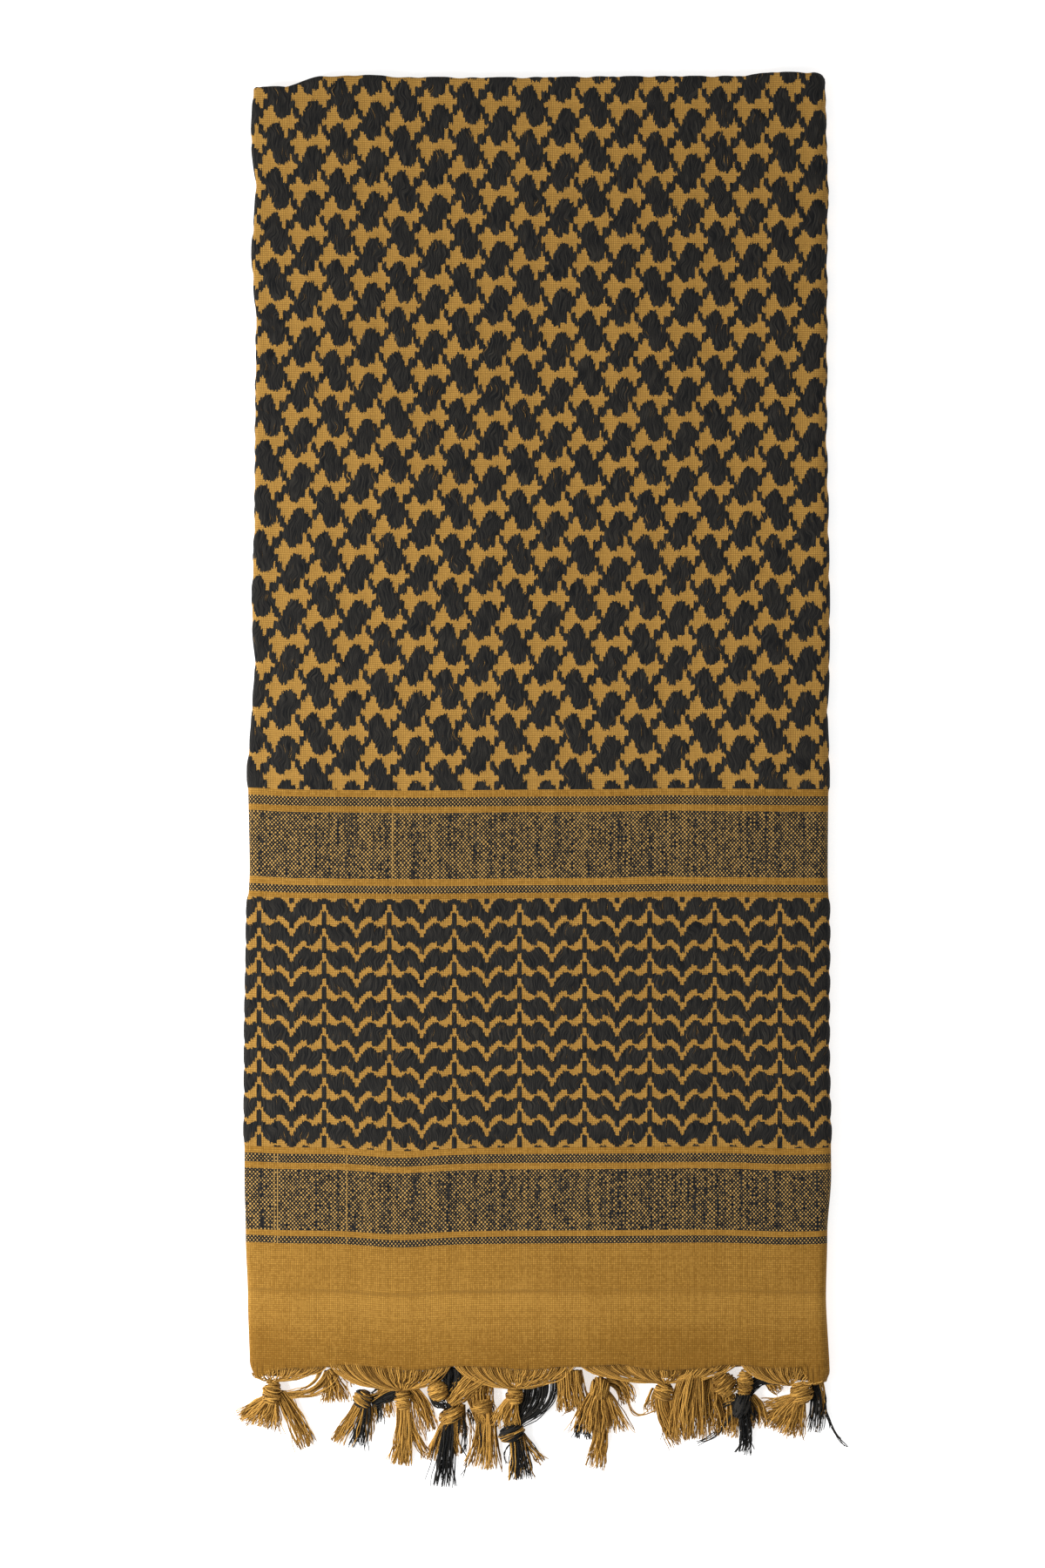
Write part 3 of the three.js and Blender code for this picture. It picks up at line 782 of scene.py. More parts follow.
# Each tassel of the fringe, seen from above. A knot has its place, its width and length, the way
# it leans and its height over the table. A strand has its route, its widths and heights along the
# route and its number of threads. Whatever else a row gives differs from the usual.
FRINGE = {
    "tassel_01": [
        knot((-125.0, 612.5), (8.2, 12.0), -10, 5.2),
        strand([(-126, 615), (-131, 618), (-140, 626)], (4, 8, 11), (4, 3, 1.4), 52),
        strand([(-125, 616), (-126, 621), (-129, 630)], (6, 12, 19), (4.5, 3.6, 1.6), 78),
    ],
    "tassel_02": [
        strand([(-121, 613), (-117, 619), (-108, 638.5)], (5, 8, 9.5), (4.5, 3, 1.6), 54, uneven=0.08),
        strand([(-98, 603), (-102, 612), (-112, 615), (-122, 613)], (13, 8, 3, 3), (6, 5, 4, 4), 26,
               uneven=0.0, wave=0.8),
        strand([(-116, 613), (-112, 620), (-111.5, 643)], (1, 2, 3), (3, 2, 0.6), 3, thick=0.16),
    ],
    "tassel_03": [
        strand([(-99, 602), (-96, 606), (-95.5, 618)], (4, 8, 15), (6.5, 5, 2.6), 58, uneven=0.12),
        strand([(-98, 602.5), (-90, 603), (-86, 609)], (2, 4, 6), (6.5, 5, 4), 16, wave=0.8),
    ],
    "tassel_04": [
        knot((-82.6, 615.5), (8.6, 8.6), -30, 4.6, black=0.35),
        strand([(-62, 610), (-70, 609), (-80, 615)], (3, 3, 2), (5, 6, 6), 12),
        strand([(-62, 608), (-70, 606), (-81, 613)], (2, 2, 2), (5.5, 6, 6.5), 8, black=1),
        strand([(-60, 612), (-68, 612), (-79, 618)], (6, 6, 5), (4, 4.5, 4.5), 40, black=1),
        strand([(-84, 618), (-88, 625), (-95, 637)], (5, 6, 6), (4, 3, 1.4), 34, uneven=0.08),
        strand([(-81, 618), (-82, 628), (-85, 640)], (5, 7, 13), (4.5, 3.6, 1.6), 34, black=0.92),
        strand([(-80, 618), (-78, 624), (-79.5, 636)], (2, 3, 3), (4, 3, 1), 12),
        strand([(-79, 614), (-74, 617), (-76, 628)], (4, 6, 6), (3.5, 2.6, 1), 22, black=0.95),
        strand([(-73, 610), (-72, 615), (-71, 625)], (6, 8, 9), (3, 2.4, 1.2), 26),
    ],
    "tassel_05": [
        knot((-63.8, 615.5), (7.4, 11.0), 4, 5.2),
        strand([(-63.4, 618), (-63, 631), (-65, 647)], (7, 8, 11.5), (4.8, 3.4, 1.6), 84, uneven=0.1),
        strand([(-61, 622), (-59, 633), (-52.5, 644)], (2, 4, 6), (4, 3, 1), 22),
        strand([(-61, 610), (-55, 615), (-50, 631)], (5, 7, 5), (5, 4, 2), 44, wave=0.8),
        strand([(-58, 614), (-57, 622), (-55, 636)], (5, 9, 9), (4, 3, 0.8), 15, wave=0.9, thick=0.2),
    ],
    "tassel_06": [
        knot((-47.6, 611.5), (9.0, 10.0), 20, 5.4),
        knot((-41.5, 623.0), (11.0, 7.5), 28, 4.4, black=0.08),
        strand([(-40, 601), (-39, 604), (-41, 612), (-41, 620)], (10, 17, 8, 4), (6, 5.2, 4.4, 4.4), 84,
               black=1, uneven=0.0),
        strand([(-40, 602), (-47, 602), (-55, 610), (-50, 620), (-44, 618)], (5, 4, 3, 3, 3),
               (4.6, 4.6, 4.6, 5, 5), 24, black=0.95, uneven=0.0),
        strand([(-52, 607), (-46, 603), (-42, 606), (-42, 611)], (2, 2, 2, 2), (5.5, 7.5, 7.5, 5), 7,
               black=1, uneven=0.0),
        strand([(-34, 603), (-35, 608), (-40, 615)], (2, 2, 2), (7, 7.4, 6), 10),
        strand([(-42, 622), (-43, 634), (-45.5, 657.5)], (5, 9, 14), (4.4, 3.4, 1.6), 54, black=1,
               uneven=0.14),
        strand([(-38.5, 636), (-31, 644), (-36.5, 653)], (1, 1, 1), (2, 1, 0.5), 2, black=1,
               uneven=0.05),
        strand([(-40, 623), (-48, 628), (-51, 645)], (4, 5, 5), (4.6, 3.6, 1.2), 36),
        strand([(-40, 624), (-40, 631), (-38.5, 643)], (3, 4, 4), (4.6, 4, 1.6), 16),
    ],
    "tassel_07": [
        knot((-27.0, 619.0), (9.5, 7.5), 15, 4.6),
        strand([(-23, 603), (-30, 605), (-35, 611), (-42, 618)], (10, 14, 12, 6), (5, 7.4, 7, 4.6), 96,
               uneven=0.0, wave=0.6),
        strand([(-26, 604), (-30, 613), (-25, 626)], (10, 15, 8), (5, 6, 4.2), 90, uneven=0.0,
               wave=0.7),
        strand([(-37, 618), (-38, 624), (-36.5, 634)], (5, 6, 6), (4, 3, 1.4), 20, wave=0.8),
        strand([(-39, 621), (-38, 626), (-39, 632)], (3, 3, 2), (5, 4.6, 3), 10, black=1),
        strand([(-33, 620), (-31, 622), (-31, 628)], (3, 4, 3), (4.6, 4, 2), 12, black=1),
        strand([(-36, 622), (-34, 632), (-36, 642)], (2, 2, 2.4), (4, 3, 1), 8, black=1, uneven=0.1),
        strand([(-34, 622), (-30, 634), (-33, 646)], (4, 4, 5), (3.4, 2, 0.6), 5, thick=0.18, wave=1.2),
        strand([(-26, 618), (-24, 630), (-26.5, 649)], (8, 9, 18), (4, 3.2, 1.6), 84, black=0.1,
               uneven=0.12),
    ],
    "tassel_08": [
        knot((-11.8, 613.8), (7.6, 9.0), 0, 6.2),
        knot((-13.2, 631.5), (11.5, 8.0), 20, 4.4, black=0.8),
        strand([(-13, 616), (-15, 620), (-17, 630)], (6, 12, 15), (6.4, 6, 4.4), 82),
        strand([(7, 606), (8, 621), (-2, 624), (-12, 629)], (4, 4, 3, 3), (6, 4, 4, 4.4), 12, black=1,
               uneven=0.0),
        strand([(0, 606), (3, 617), (-4, 623), (-12, 628)], (9, 7, 4, 3), (6, 4, 4, 4.4), 26, black=1,
               uneven=0.0),
        strand([(-5, 608), (-4, 615), (-8, 622), (-12, 628)], (8, 7, 6, 4), (5, 4, 4, 4.4), 34, black=1,
               uneven=0.0),
        strand([(-11, 633), (-9, 642), (-9, 654)], (8, 9, 15), (4.4, 3.4, 1.6), 64, black=0.74,
               uneven=0.16),
        strand([(-8, 632), (-3, 640), (2, 646)], (3, 4, 5), (4, 2.6, 1), 18, black=0.4),
        strand([(-14, 637), (-19, 642), (-15, 648)], (1, 1, 1), (2, 1, 0.5), 2, black=1),
    ],
    "tassel_09": [
        strand([(14, 602), (14.5, 611), (16, 621.5)], (11, 14, 14), (6.5, 7, 4), 92, uneven=0.1),
        strand([(19, 615), (17, 621), (8, 624.5)], (2, 2, 1), (4, 2, 0.5), 2),
    ],
    "tassel_10": [
        knot((28.0, 610.5), (10.5, 9.6), 80, 6.2),
        strand([(28, 612), (28, 620), (28, 632)], (9, 24, 27), (5.5, 5.2, 2.6), 150, wave=0.6),
        strand([(31, 606), (40, 606), (42, 618)], (6, 8, 9), (5, 5, 3), 48, wave=0.8),
        strand([(22, 622), (21, 628), (20.5, 635)], (8, 9, 10), (2.6, 2.2, 1), 26, black=1, uneven=0.1),
        strand([(29, 622), (28.5, 636), (25.5, 649)], (7, 7, 12), (3, 2.6, 1.4), 50),
        strand([(40, 612), (43, 628), (48, 624), (56, 618)], (1, 1, 1, 1), (4, 1, 1, 4), 3, uneven=0.0),
    ],
    "tassel_11": [
        knot((57.8, 612.0), (8.4, 9.0), -20, 6.0),
        strand([(57, 614), (58, 624), (66, 637)], (7, 9, 9), (5, 3.6, 1.4), 70),
        strand([(54, 611), (52, 616), (52, 623)], (4, 6, 8), (4, 3, 1.4), 24),
    ],
    "tassel_12": [
        strand([(72, 603), (69, 612), (69, 635)], (10, 18, 19), (6, 7.4, 2.4), 150, wave=0.6,
               uneven=0.12),
        strand([(80, 606), (80, 616), (82, 633)], (6, 14, 15), (4, 4.6, 1.8), 70, wave=1.3),
    ],
    "tassel_13": [
        knot((86.0, 608.5), (10.5, 12.5), 35, 6.2),
        knot((95.4, 608.0), (7.5, 13.0), -5, 5.8),
        knot((94.0, 618.0), (12.5, 8.0), 70, 4.4, black=0.96),
        strand([(88, 614), (90, 622), (88, 634)], (8, 12, 15), (3, 3, 1.6), 64, wave=0.8),
        strand([(98, 615), (102, 620), (102, 630)], (5, 10, 10), (3, 2.8, 1.4), 46),
        strand([(94, 620), (98, 630), (94.5, 642)], (6, 5, 7), (5, 3.6, 1.4), 26, black=1, uneven=0.08),
        strand([(91, 620), (86, 632), (73, 637)], (3, 2, 1.2), (5, 3.4, 1.8), 5, black=1, uneven=0.03),
        strand([(97, 618), (99, 622), (99.5, 628)], (4, 5, 4), (4.6, 4, 2), 18, black=1),
        strand([(97, 633), (99, 638), (101, 641)], (0.6, 0.6, 0.6), (2, 1, 0.5), 1, black=1),
        strand([(96, 613), (101, 604), (108, 605), (116, 608)], (6, 7, 3, 2), (4, 5, 5.4, 5.4), 40,
               black=1, uneven=0.0),
        strand([(85, 619), (90, 616), (94, 616)], (3, 3, 2), (4.6, 5.4, 5.4), 14, black=0.4,
               uneven=0.02),
    ],
    "tassel_14": [
        knot((122.0, 612.5), (10.0, 10.5), 20, 5.8),
        strand([(120, 615), (113, 618), (104, 622)], (5, 8, 10), (4.4, 3.4, 1.6), 46),
        strand([(120, 616), (115, 621), (109, 631)], (6, 10, 12), (5, 4, 1.8), 64),
        strand([(121, 616), (120, 624), (117, 634)], (6, 10, 13), (5, 4, 1.6), 60),
        strand([(106, 607), (108, 610), (112, 613)], (4, 5, 6), (3.5, 3.5, 3.5), 24),
    ],
    "tassel_15": [
        strand([(127, 606), (132, 612), (128.5, 632)], (5, 7, 9), (4, 3.4, 1.4), 44, black=0.93,
               uneven=0.22),
        strand([(131, 612), (135, 630), (143.5, 639)], (2, 1.5, 1.5), (2.6, 1.4, 0.5), 5, black=1,
               uneven=0.22, thick=0.24),
        strand([(130, 604), (133, 612), (132, 624)], (3, 2, 2), (5, 4, 2), 6),
    ],
}


GATHER_SEED, FIRST_TASSEL_SEED = 7, 20
GATHER_DEPTH = 0.75  # how far under the stack's top the front ply's warp ends leave it


def fringe_pieces(material):
    """The front ply's gathered warp ends with three sets beneath them, and a piece for each
    tassel. Each stands for the plain solid of the same place."""
    gather = Yarn(GATHER_SEED)
    swags(gather, FRONT_KNOTS, STACK - GATHER_DEPTH)
    for aside, short, low, level in GATHERS_BENEATH:
        beneath = [
            {**front, "at": (front["at"][0] + aside, front["at"][1] - short), "height": low}
            for front in FRONT_KNOTS
        ]
        swags(gather, beneath, level)
    pieces = {"fringe_gather": gather.made("fringe_gather_yarn", material)}
    for seed, (node, rows) in enumerate(FRINGE.items(), FIRST_TASSEL_SEED):
        yarn = Yarn(seed)
        for lay_out, values in rows:
            lay_out(yarn, **values)
        pieces[node] = yarn.made(node + "_yarn", material)
    return pieces


# ---------------------------------------------------------------- finishes


def maths(operation, flipped=False):
    """A method that adds a Math node, with its values the other way round when flipped."""
    def method(self, *others):
        values = (*others, self) if flipped else (self, *others)
        return self.finish.add("ShaderNodeMath", {"operation": operation}, dict(enumerate(values)))
    return method


class Wire:
    """One output of a material's nodes. Each operator and method adds a node that works on it."""

    def __init__(self, finish, socket):
        self.finish, self.socket = finish, socket

    __add__, __radd__ = maths("ADD"), maths("ADD", True)
    __sub__, __rsub__ = maths("SUBTRACT"), maths("SUBTRACT", True)
    __mul__, __rmul__ = maths("MULTIPLY"), maths("MULTIPLY", True)
    __truediv__, __mod__ = maths("DIVIDE"), maths("FLOORED_MODULO")
    __rpow__ = maths("POWER", True)
    __lt__, __gt__ = maths("LESS_THAN"), maths("GREATER_THAN")
    floor, fraction, size = maths("FLOOR"), maths("FRACT"), maths("ABSOLUTE")
    higher_of = maths("MAXIMUM")

    def rise(self, low, high):
        """0 below low, 1 above high, smooth between."""
        settings = {"interpolation_type": "SMOOTHSTEP"}
        values = {"Value": self, "From Min": low, "From Max": high}
        return self.finish.add("ShaderNodeMapRange", settings, values)


class Finish:
    """A material and its nodes, added one at a time."""

    def __init__(self, name):
        self.material = bpy.data.materials.new(name)
        self.material.use_nodes = True
        self.tree = self.material.node_tree
        self.tree.nodes.clear()
        self.output = self.tree.nodes.new("ShaderNodeOutputMaterial")

    def add(self, kind, settings=None, values=None, output=0):
        """One node: its settings first, then its sockets' values or wires."""
        node = self.tree.nodes.new(kind)
        for key, setting in (settings or {}).items():
            if key == "stops":
                fill_ramp(node.color_ramp, setting)
            elif key == "ramp":
                node.color_ramp.interpolation = setting
            else:
                setattr(node, key, setting)
        for key, value in (values or {}).items():
            socket = node.inputs[key]
            if isinstance(value, Wire):
                self.tree.links.new(value.socket, socket)
            else:
                socket.default_value = value
        return Wire(self, node.outputs[output])

    def blend(self, low, high, share):
        """A colour between two, by a share from 0 to 1. Sockets 6 and 7 are a Mix node's colours."""
        return self.add("ShaderNodeMix", {"data_type": "RGBA"}, {"Factor": share, 6: low, 7: high}, 2)

    def noise(self, vector, scale, detail, rough=0.5):
        """Cloudy noise from 0 to 1."""
        values = {"Vector": vector, "Scale": scale, "Detail": detail, "Roughness": rough}
        return self.add("ShaderNodeTexNoise", {"noise_dimensions": "3D"}, values)

    def chance(self, across, down):
        """A number from 0 to 1 that is different for each pair of whole numbers."""
        values = {"Vector": self.place(across, down)}
        return self.add("ShaderNodeTexWhiteNoise", {"noise_dimensions": "2D"}, values)

    def place(self, across, down, third=0.0):
        """Three numbers as one place."""
        return self.add("ShaderNodeCombineXYZ", None, {"X": across, "Y": down, "Z": third})

    def object_place(self):
        """A place on the piece itself, in metres."""
        return self.add("ShaderNodeTexCoord", output=3)

    def map(self, name):
        """The two numbers of the piece's own texture map."""
        vector = {"Vector": self.add("ShaderNodeUVMap", {"uv_map": name})}
        return [self.add("ShaderNodeSeparateXYZ", None, vector, output) for output in (0, 1)]

    def patches(self, across, down, layer, detail=2.0, rough=0.5):
        """Soft noise, different on each layer."""
        return self.noise(self.place(across, down, layer), 1.0, detail, rough)

    def cotton(self, colour, height, lift):
        """The shader itself: a matt, slightly napped cotton, raised by height times lift."""
        bump = self.add("ShaderNodeBump", None, {"Strength": 1.0, "Distance": lift, "Height": height})
        return self.finished({
            "Base Color": colour,
            "Roughness": 0.85,
            "Normal": bump,
            "Specular IOR Level": 0.12,
            "Sheen Weight": 0.04,
            "Sheen Roughness": 0.45,
        })

    def finished(self, values):
        """Puts a shader with these values on the surface, and gives the material."""
        shader = self.add("ShaderNodeBsdfPrincipled", None, values)
        self.tree.links.new(shader.socket, self.output.inputs["Surface"])
        return self.material


def fill_ramp(ramp, stops):
    """Sets a ramp's stops, each a place and a colour."""
    while len(ramp.elements) > 1:
        ramp.elements.remove(ramp.elements[-1])
    for index, (place, colour) in enumerate(stops):
        stop = ramp.elements[0] if index == 0 else ramp.elements.new(place)
        stop.position = place
        stop.color = (*colour, 1.0)


def paint(red, green, blue):
    """A colour as seen on a screen, 0 to 255, as light."""
    values = np.array([red, green, blue]) / 255
    values = np.where(values > 0.04045, ((values + 0.055) / 1.055) ** 2.4, values / 12.92)
    return (*map(float, values), 1.0)


# Cotton colours, as they look in even light. The darkest gold is also painted shade in the gaps between
# threads, besides the dark pick's colour, and the paler black also gives the black floats a painted
# sheen.
GOLD_LOW = paint(138, 97, 32)
GOLD_HIGH = paint(182, 136, 60)
GOLD_UNDER = paint(192, 150, 80)
GOLD_SHADE_AND_DARK_PICK = paint(78, 50, 12)
INK_LOW = paint(22, 22, 24)
INK_HIGH = paint(46, 43, 38)
BLACK_LOW = paint(15, 16, 18)
BLACK_HIGH = paint(54, 51, 46)
GOLD_DOT = paint(190, 152, 86)
YARN_LOW = paint(98, 65, 18)
YARN_HIGH = paint(212, 162, 78)

# Single gold warp threads that cross the dark bands: place, from and to.
GOLD_WARPS = [
    (-113.8, 500.0, 543.0),
    (-112.4, 500.0, 543.0),
    (-80.8, 500.0, 543.0),
    (-59.9, 334.0, 380.0),
]
GOLD_WARP_HALF = 0.22
DARK_PICK = 564.6  # a dark pick in the plain end, with a painted paler stretch of light past it


def charted(finish, chart, column, row):
    """The chart's value at a step: each row's thirty steps are three ten-digit binary numbers,
    kept as one colour of a stepped ramp, and the step's own digit is taken from its third."""
    rows, columns = chart.shape
    third = columns // 3
    weights = 2 ** np.arange(third)
    numbers = (chart.reshape(rows, 3, third) * weights).sum(2) / 2.0**third
    stops = [(index / rows, tuple(map(float, number))) for index, number in enumerate(numbers)]
    share = (row + 0.5) / rows
    ramp = finish.add("ShaderNodeValToRGB", {"ramp": "CONSTANT", "stops": stops}, {"Fac": share})
    first, second, last = (
        finish.add("ShaderNodeSeparateColor", None, {"Color": ramp}, channel) for channel in range(3)
    )
    which = (column / third).floor()
    number = first * (which < 0.5) + second * (which > 0.5) * (which < 1.5) + last * (which > 1.5)
    digit = column - which * third
    return ((number * 2.0**third + 0.5) / (2.0 ** (digit + 1.0))).fraction() > 0.49999


def band_marks(v):
    """For each kind of band, 1 at the places that lie in one and 0 elsewhere."""
    marks = dict.fromkeys(("net", "leaf", "mottled", "dotted"), 0.0)
    start = -100.0  # over the far fold and on to the ply that goes back in
    for name, end in BANDS:
        if name in marks:
            marks[name] = (v > start) * (v < end) + marks[name]
        start = end
    return marks


def charted_black(cloth, u, v, marks, ragged, wavy):
    """1 on the black floats. Each float stands a little wider than its steps of the pattern, so
    the pattern is looked up on both sides of a place and the two answers are joined."""
    black = None
    for side in (-1.0, 1.0):
        net_u = u - NET_START[0] + wavy * 0.7 + side * FLOAT_SPREAD
        net_v = v - NET_START[1] + ragged * 1.3 + side * FLOAT_REACH
        net_column = (net_u / (NET_WIDTH / NET_COLUMNS)) % NET_COLUMNS
        net_row = (net_v / (NET_DEPTH / NET_ROWS) + NET_FIRST_ROW) % NET_ROWS
        leaf_u = u - LEAF_START[0] + wavy * 0.4 + side * FLOAT_SPREAD
        leaf_v = v - LEAF_START[1] + ragged * 0.9 + side * FLOAT_REACH
        leaf_column = (leaf_u / (LEAF_WIDTH / LEAF_COLUMNS)) % LEAF_COLUMNS
        leaf_row = (leaf_v / (LEAF_DEPTH / LEAF_ROWS)) % LEAF_ROWS
        net = charted(cloth, net_chart(), net_column.floor(), net_row.floor())
        leaf = charted(cloth, leaf_chart(), leaf_column.floor(), leaf_row.floor())
        here = marks["net"] * (1.0 - net) + marks["leaf"] * (1.0 - leaf)
        black = here if black is None else black.higher_of(here)
    return black


def rounded(share):
    """1 at the middle of a thread and 0 at its edges."""
    return 1.0 - (share - 0.5) * (share - 0.5) * 4.0


def gold_warps(u, v):
    """1 on the single gold warps that cross the dark bands."""
    line = 0.0
    for place, begin, end in GOLD_WARPS:
        line = (((u - place).size() < GOLD_WARP_HALF) * (v > begin) * (v < end)) + line
    return line


def keffiyeh_cloth():
    """Black floats on a gold plain weave. Each thread has its own place, width and shade; the
    floats' ends are ragged, and gold shows in slits between their threads."""
    cloth = Finish("keffiyeh_cloth")
    u, v = cloth.map("Cloth")
    marks = band_marks(v)
    dark_weft = marks["mottled"] + marks["dotted"]

    # Threads, numbered across and down, and where a place lies across each.
    warp = u / WARP_PITCH + (cloth.patches(u * 0.11, v * 0.05, 0.0) - 0.5) * 1.6
    weft = v / WEFT_PITCH + (cloth.patches(u * 0.03, v * 0.12, 7.0) - 0.5) * 1.2
    warp_number, weft_number = warp.floor(), weft.floor()
    knuckle = rounded(warp.fraction()) * rounded(weft.fraction())
    warp_luck = cloth.chance(warp_number, 0.0)
    weft_luck = cloth.chance(3.0, weft_number)
    crossing_luck = cloth.chance(warp_number, weft_number)

    # Ragged float ends: each float thread starts and stops a little early or late.
    late = cloth.chance((u / FLOAT_THREAD).floor(), (v / 5.2).floor()) - 0.5
    wavy = cloth.patches(u * 1.1, v * 0.35, 3.0) - 0.5
    black = charted_black(cloth, u, v, marks, late, wavy)

    # The float threads lean this way and that, and gold shows in slits between some of them.
    lean = (cloth.patches(u * 0.12, v * 0.12, 17.0, 1.0) - 0.5) * 7.0
    slit = cloth.patches((u + lean) * 2.6, v * 0.10, 11.0, 1.0).rise(0.68, 0.74)
    loose = cloth.patches(u * 0.09, v * 0.09, 19.0, 1.0).rise(0.46, 0.62)
    floats = black * (1.0 - slit * loose * 0.85)

    # In the dark bands the weft is black, and the gold warp shows on every other crossing, as a
    # dot that is larger or smaller by luck.
    warp_over = ((warp_number + weft_number) % 2.0) < 0.5
    streak = cloth.patches(u * 0.9, v * 0.045, 5.0, 3.0, 0.6)
    luck = (streak - 0.5) * 0.7 + (warp_luck - 0.5) * 0.5 + (crossing_luck - 0.5) * 0.8
    luck = luck * (1.0 - marks["dotted"] * 0.6)
    few = 0.06 + 0.06 * (v > LEAF_END)
    gold_dot = warp_over * (knuckle + luck - few).rise(0.32, 0.46)
    dark_crossing = dark_weft * (1.0 - gold_dot) * (1.0 - gold_warps(u, v) * 0.8)

    # The gold: tone by the thread and by the patch, with a painted paler stretch of light past the dark
    # pick and painted shade over the last picks; darker at the dark pick, with painted shade in the
    # gaps between threads and where the last picks bunch up.
    shade = cloth.patches(u * 0.02, v * 0.02, 9.0)
    slub = cloth.patches(u * 1.2, v * 0.10, 1.0)
    pick = cloth.patches(u * 0.06, v * 1.1, 13.0)
    tone = slub * 0.15 + shade * 0.35 + pick * 0.08
    tone = tone + crossing_luck * 0.25 + warp_luck * 0.11 + weft_luck * 0.08
    # Painted light and shade: paler in a stretch just past the dark pick, and darker over the last 20
    # mm before the last pick.
    past_pick = v + (shade - 0.5) * 14.0 - DARK_PICK
    tone = tone + 0.12 * (1.0 - (past_pick - 6.0).size().rise(2.0, 9.0))
    tone = tone - 0.20 * v.rise(578.0, 599.0)
    gold = cloth.blend(GOLD_LOW, GOLD_HIGH, tone.rise(0.15, 0.9))
    gold = cloth.blend(gold, GOLD_UNDER, marks["net"] * 0.45 + marks["leaf"] * 0.35)
    gold = cloth.blend(gold, GOLD_DOT, dark_weft * 0.85)
    strength = (shade * 0.8 + pick * 0.5 + crossing_luck * 0.3).rise(0.55, 1.0)
    dark_pick = (1.0 - (v + wavy * 1.6 - DARK_PICK).size().rise(0.4, 1.3)) * strength
    # Painted shade: darker where the warp ends bunch at the last picks and in the gaps round each
    # thread crossing, joined with the dark pick.
    bunch = cloth.patches(u * 0.75, v * 0.05, 23.0).rise(0.50, 0.62)
    fray_shade = v.rise(CLOTH_LENGTH - 4.0, CLOTH_LENGTH + 1.5) * bunch
    shade_and_dark_pick = (1.0 - knuckle).rise(0.25, 1.0) * 0.6
    shade_and_dark_pick = shade_and_dark_pick.higher_of(dark_pick * 0.55).higher_of(fray_shade * 0.75)
    gold = cloth.blend(gold, GOLD_SHADE_AND_DARK_PICK, shade_and_dark_pick)

    ink = cloth.blend(INK_LOW, INK_HIGH, slub.rise(0.35, 0.8))
    # Paler streaks along the black floats are a painted sheen; the same streaks also lift the floats a
    # little.
    lustre = cloth.patches((u + lean) * 2.2, v * 0.12, 21.0)
    yarn = cloth.blend(BLACK_LOW, BLACK_HIGH, lustre.rise(0.3, 0.85))
    colour = cloth.blend(cloth.blend(gold, ink, dark_crossing), yarn, floats)

    thread_round = 1.0 - ((u / FLOAT_THREAD).fraction() - 0.5).size() * 2.0
    raised = floats * (0.75 + thread_round * 0.25 + lustre * 0.3)
    return cloth.cotton(colour, knuckle * 0.35 * (1.0 - floats) + raised, 0.25 * MM)


def fringe_yarn():
    """Loose cotton yarn, gold or black by the thread: the first number of its map is a thread's
    shade, above 1 on black ones, and the second runs along it."""
    yarn = Finish("cotton_fringe_yarn")
    code, down = yarn.map("Thread")
    mottle = yarn.patches(code * 40.0, down * 0.35, 0.0)
    twist = yarn.patches(code * 40.0, down * 2.4, 4.0, 1.0)
    tone = code.fraction() * 0.5 + mottle * 0.35 + twist * 0.15
    gold = yarn.blend(YARN_LOW, YARN_HIGH, tone.rise(0.15, 0.85))
    black = yarn.blend(BLACK_LOW, BLACK_HIGH, tone.rise(0.2, 0.9))
    fuzz = yarn.noise(yarn.object_place(), 2600.0, 1.0)
    return yarn.cotton(yarn.blend(gold, black, code > 1.0), fuzz + twist, 0.2 * MM)


# ---------------------------------------------------------------- scene


MIDDLE_ALONG = 330  # the middle of the scarf, with its fringe
TABLE_REACH, TABLE_HEIGHT = 4000, -0.05
TABLE_GLOW = 0.62
ROOM_LIGHT = 0.48
KEY_LAMP = {"across": -750, "along": 560, "height": 650, "size": 500, "power": 14.2}
LENS, SENSOR = 100, 36
VIEW_LENGTH = 729.0  # how much the camera takes in down the scarf, at the height of the cloth
VIEW_MIDDLE = (-8.1, 328.9)


def floor_finish():
    """A plain white table top."""
    table = Finish("white_table")
    grain = table.noise(table.object_place(), 30.0, 3.0)
    return table.finished({
        "Base Color": table.blend((0.93, 0.93, 0.93, 1), (0.97, 0.97, 0.97, 1), grain),
        "Roughness": 0.9,
        "Specular IOR Level": 0.1,
        "Emission Color": (1, 1, 1, 1),
        "Emission Strength": TABLE_GLOW,
    })


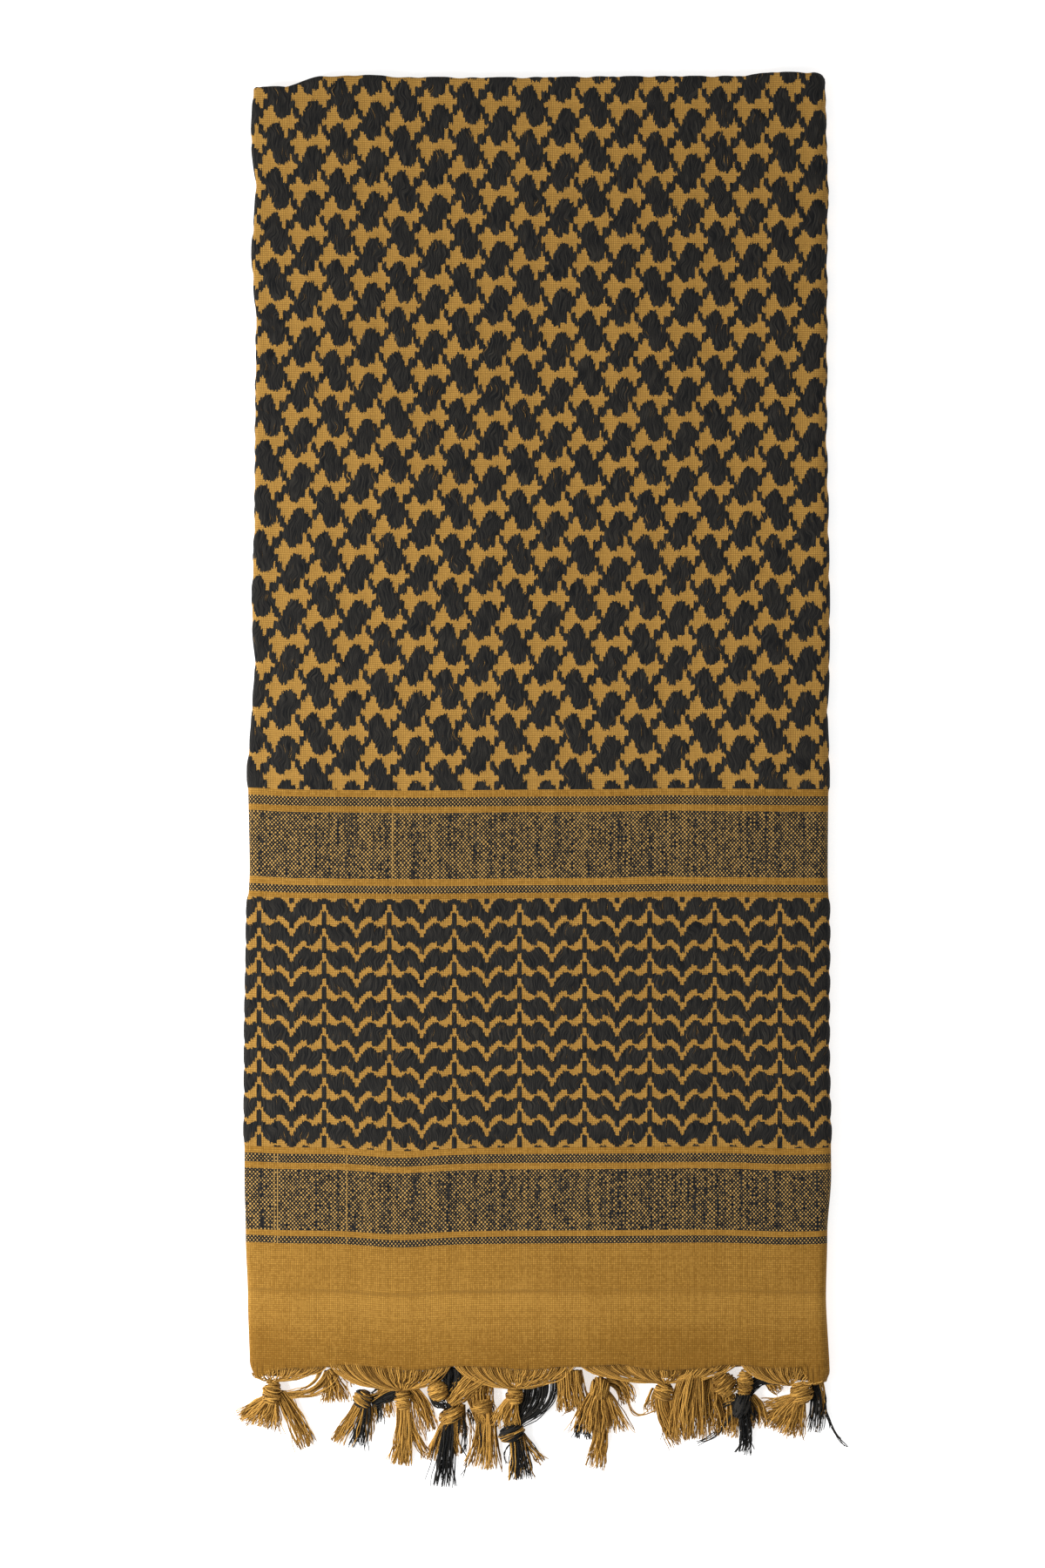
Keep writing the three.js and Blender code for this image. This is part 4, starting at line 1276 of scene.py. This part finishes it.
def table_top():
    """A flat square eight metres a side, just under the scarf."""
    reach = np.array([[-1.0, -1.0], [1.0, -1.0], [1.0, 1.0], [-1.0, 1.0]]) * TABLE_REACH
    points = placed(reach[:, 0], MIDDLE_ALONG + reach[:, 1], np.full(4, TABLE_HEIGHT))
    table = build("table_top", points, [np.array([[3, 2, 1, 0]])], floor_finish())


def spot(across, along, height):
    """One place, in metres in the part's own frame."""
    return Vector(placed(np.array([across]), np.array([along]), np.array([height]))[0])


def soft_light(name, across, along, height, size, power):
    """A square lamp that points at the middle of the scarf."""
    data = bpy.data.lights.new(name, "AREA")
    data.size = size * MM
    data.energy = power
    lamp = bpy.data.objects.new(name, data)
    place, target = spot(across, along, height), spot(0.0, MIDDLE_ALONG, 0.0)
    lamp.location = place
    lamp.rotation_euler = (target - place).to_track_quat("-Z", "Y").to_euler()
    bpy.context.scene.collection.objects.link(lamp)


def light_and_camera():
    """Even light from all round, a stronger lamp on the left, and a long lens straight above."""
    world = bpy.data.worlds.new("studio")
    world.use_nodes = True
    background = world.node_tree.nodes["Background"]
    background.inputs["Color"].default_value = (1, 1, 1, 1)
    background.inputs["Strength"].default_value = ROOM_LIGHT
    bpy.context.scene.world = world
    soft_light("key", **KEY_LAMP)
    bpy.context.scene.view_settings.view_transform = "Standard"

    lens = bpy.data.cameras.new("camera")
    lens.lens, lens.sensor_width = LENS, SENSOR
    lens.clip_end = 20
    camera = bpy.data.objects.new("camera", lens)
    camera.location = spot(*VIEW_MIDDLE, STACK + VIEW_LENGTH * LENS / SENSOR)
    bpy.context.scene.collection.objects.link(camera)
    bpy.context.scene.camera = camera


light_and_camera()
table_top()
cloth_finish = keffiyeh_cloth()
outer = outer_ply(cloth_finish)
inner = inner_plies(cloth_finish)
fringe = fringe_pieces(fringe_yarn())
for piece, node, slot in [
    (outer, "outer_ply", "pattern_cloth"),
    (inner, "inner_plies", "hidden_plies"),
    *((piece, node, "fringe_yarn") for node, piece in fringe.items()),
]:
    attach(piece, "root")
    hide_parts(node)
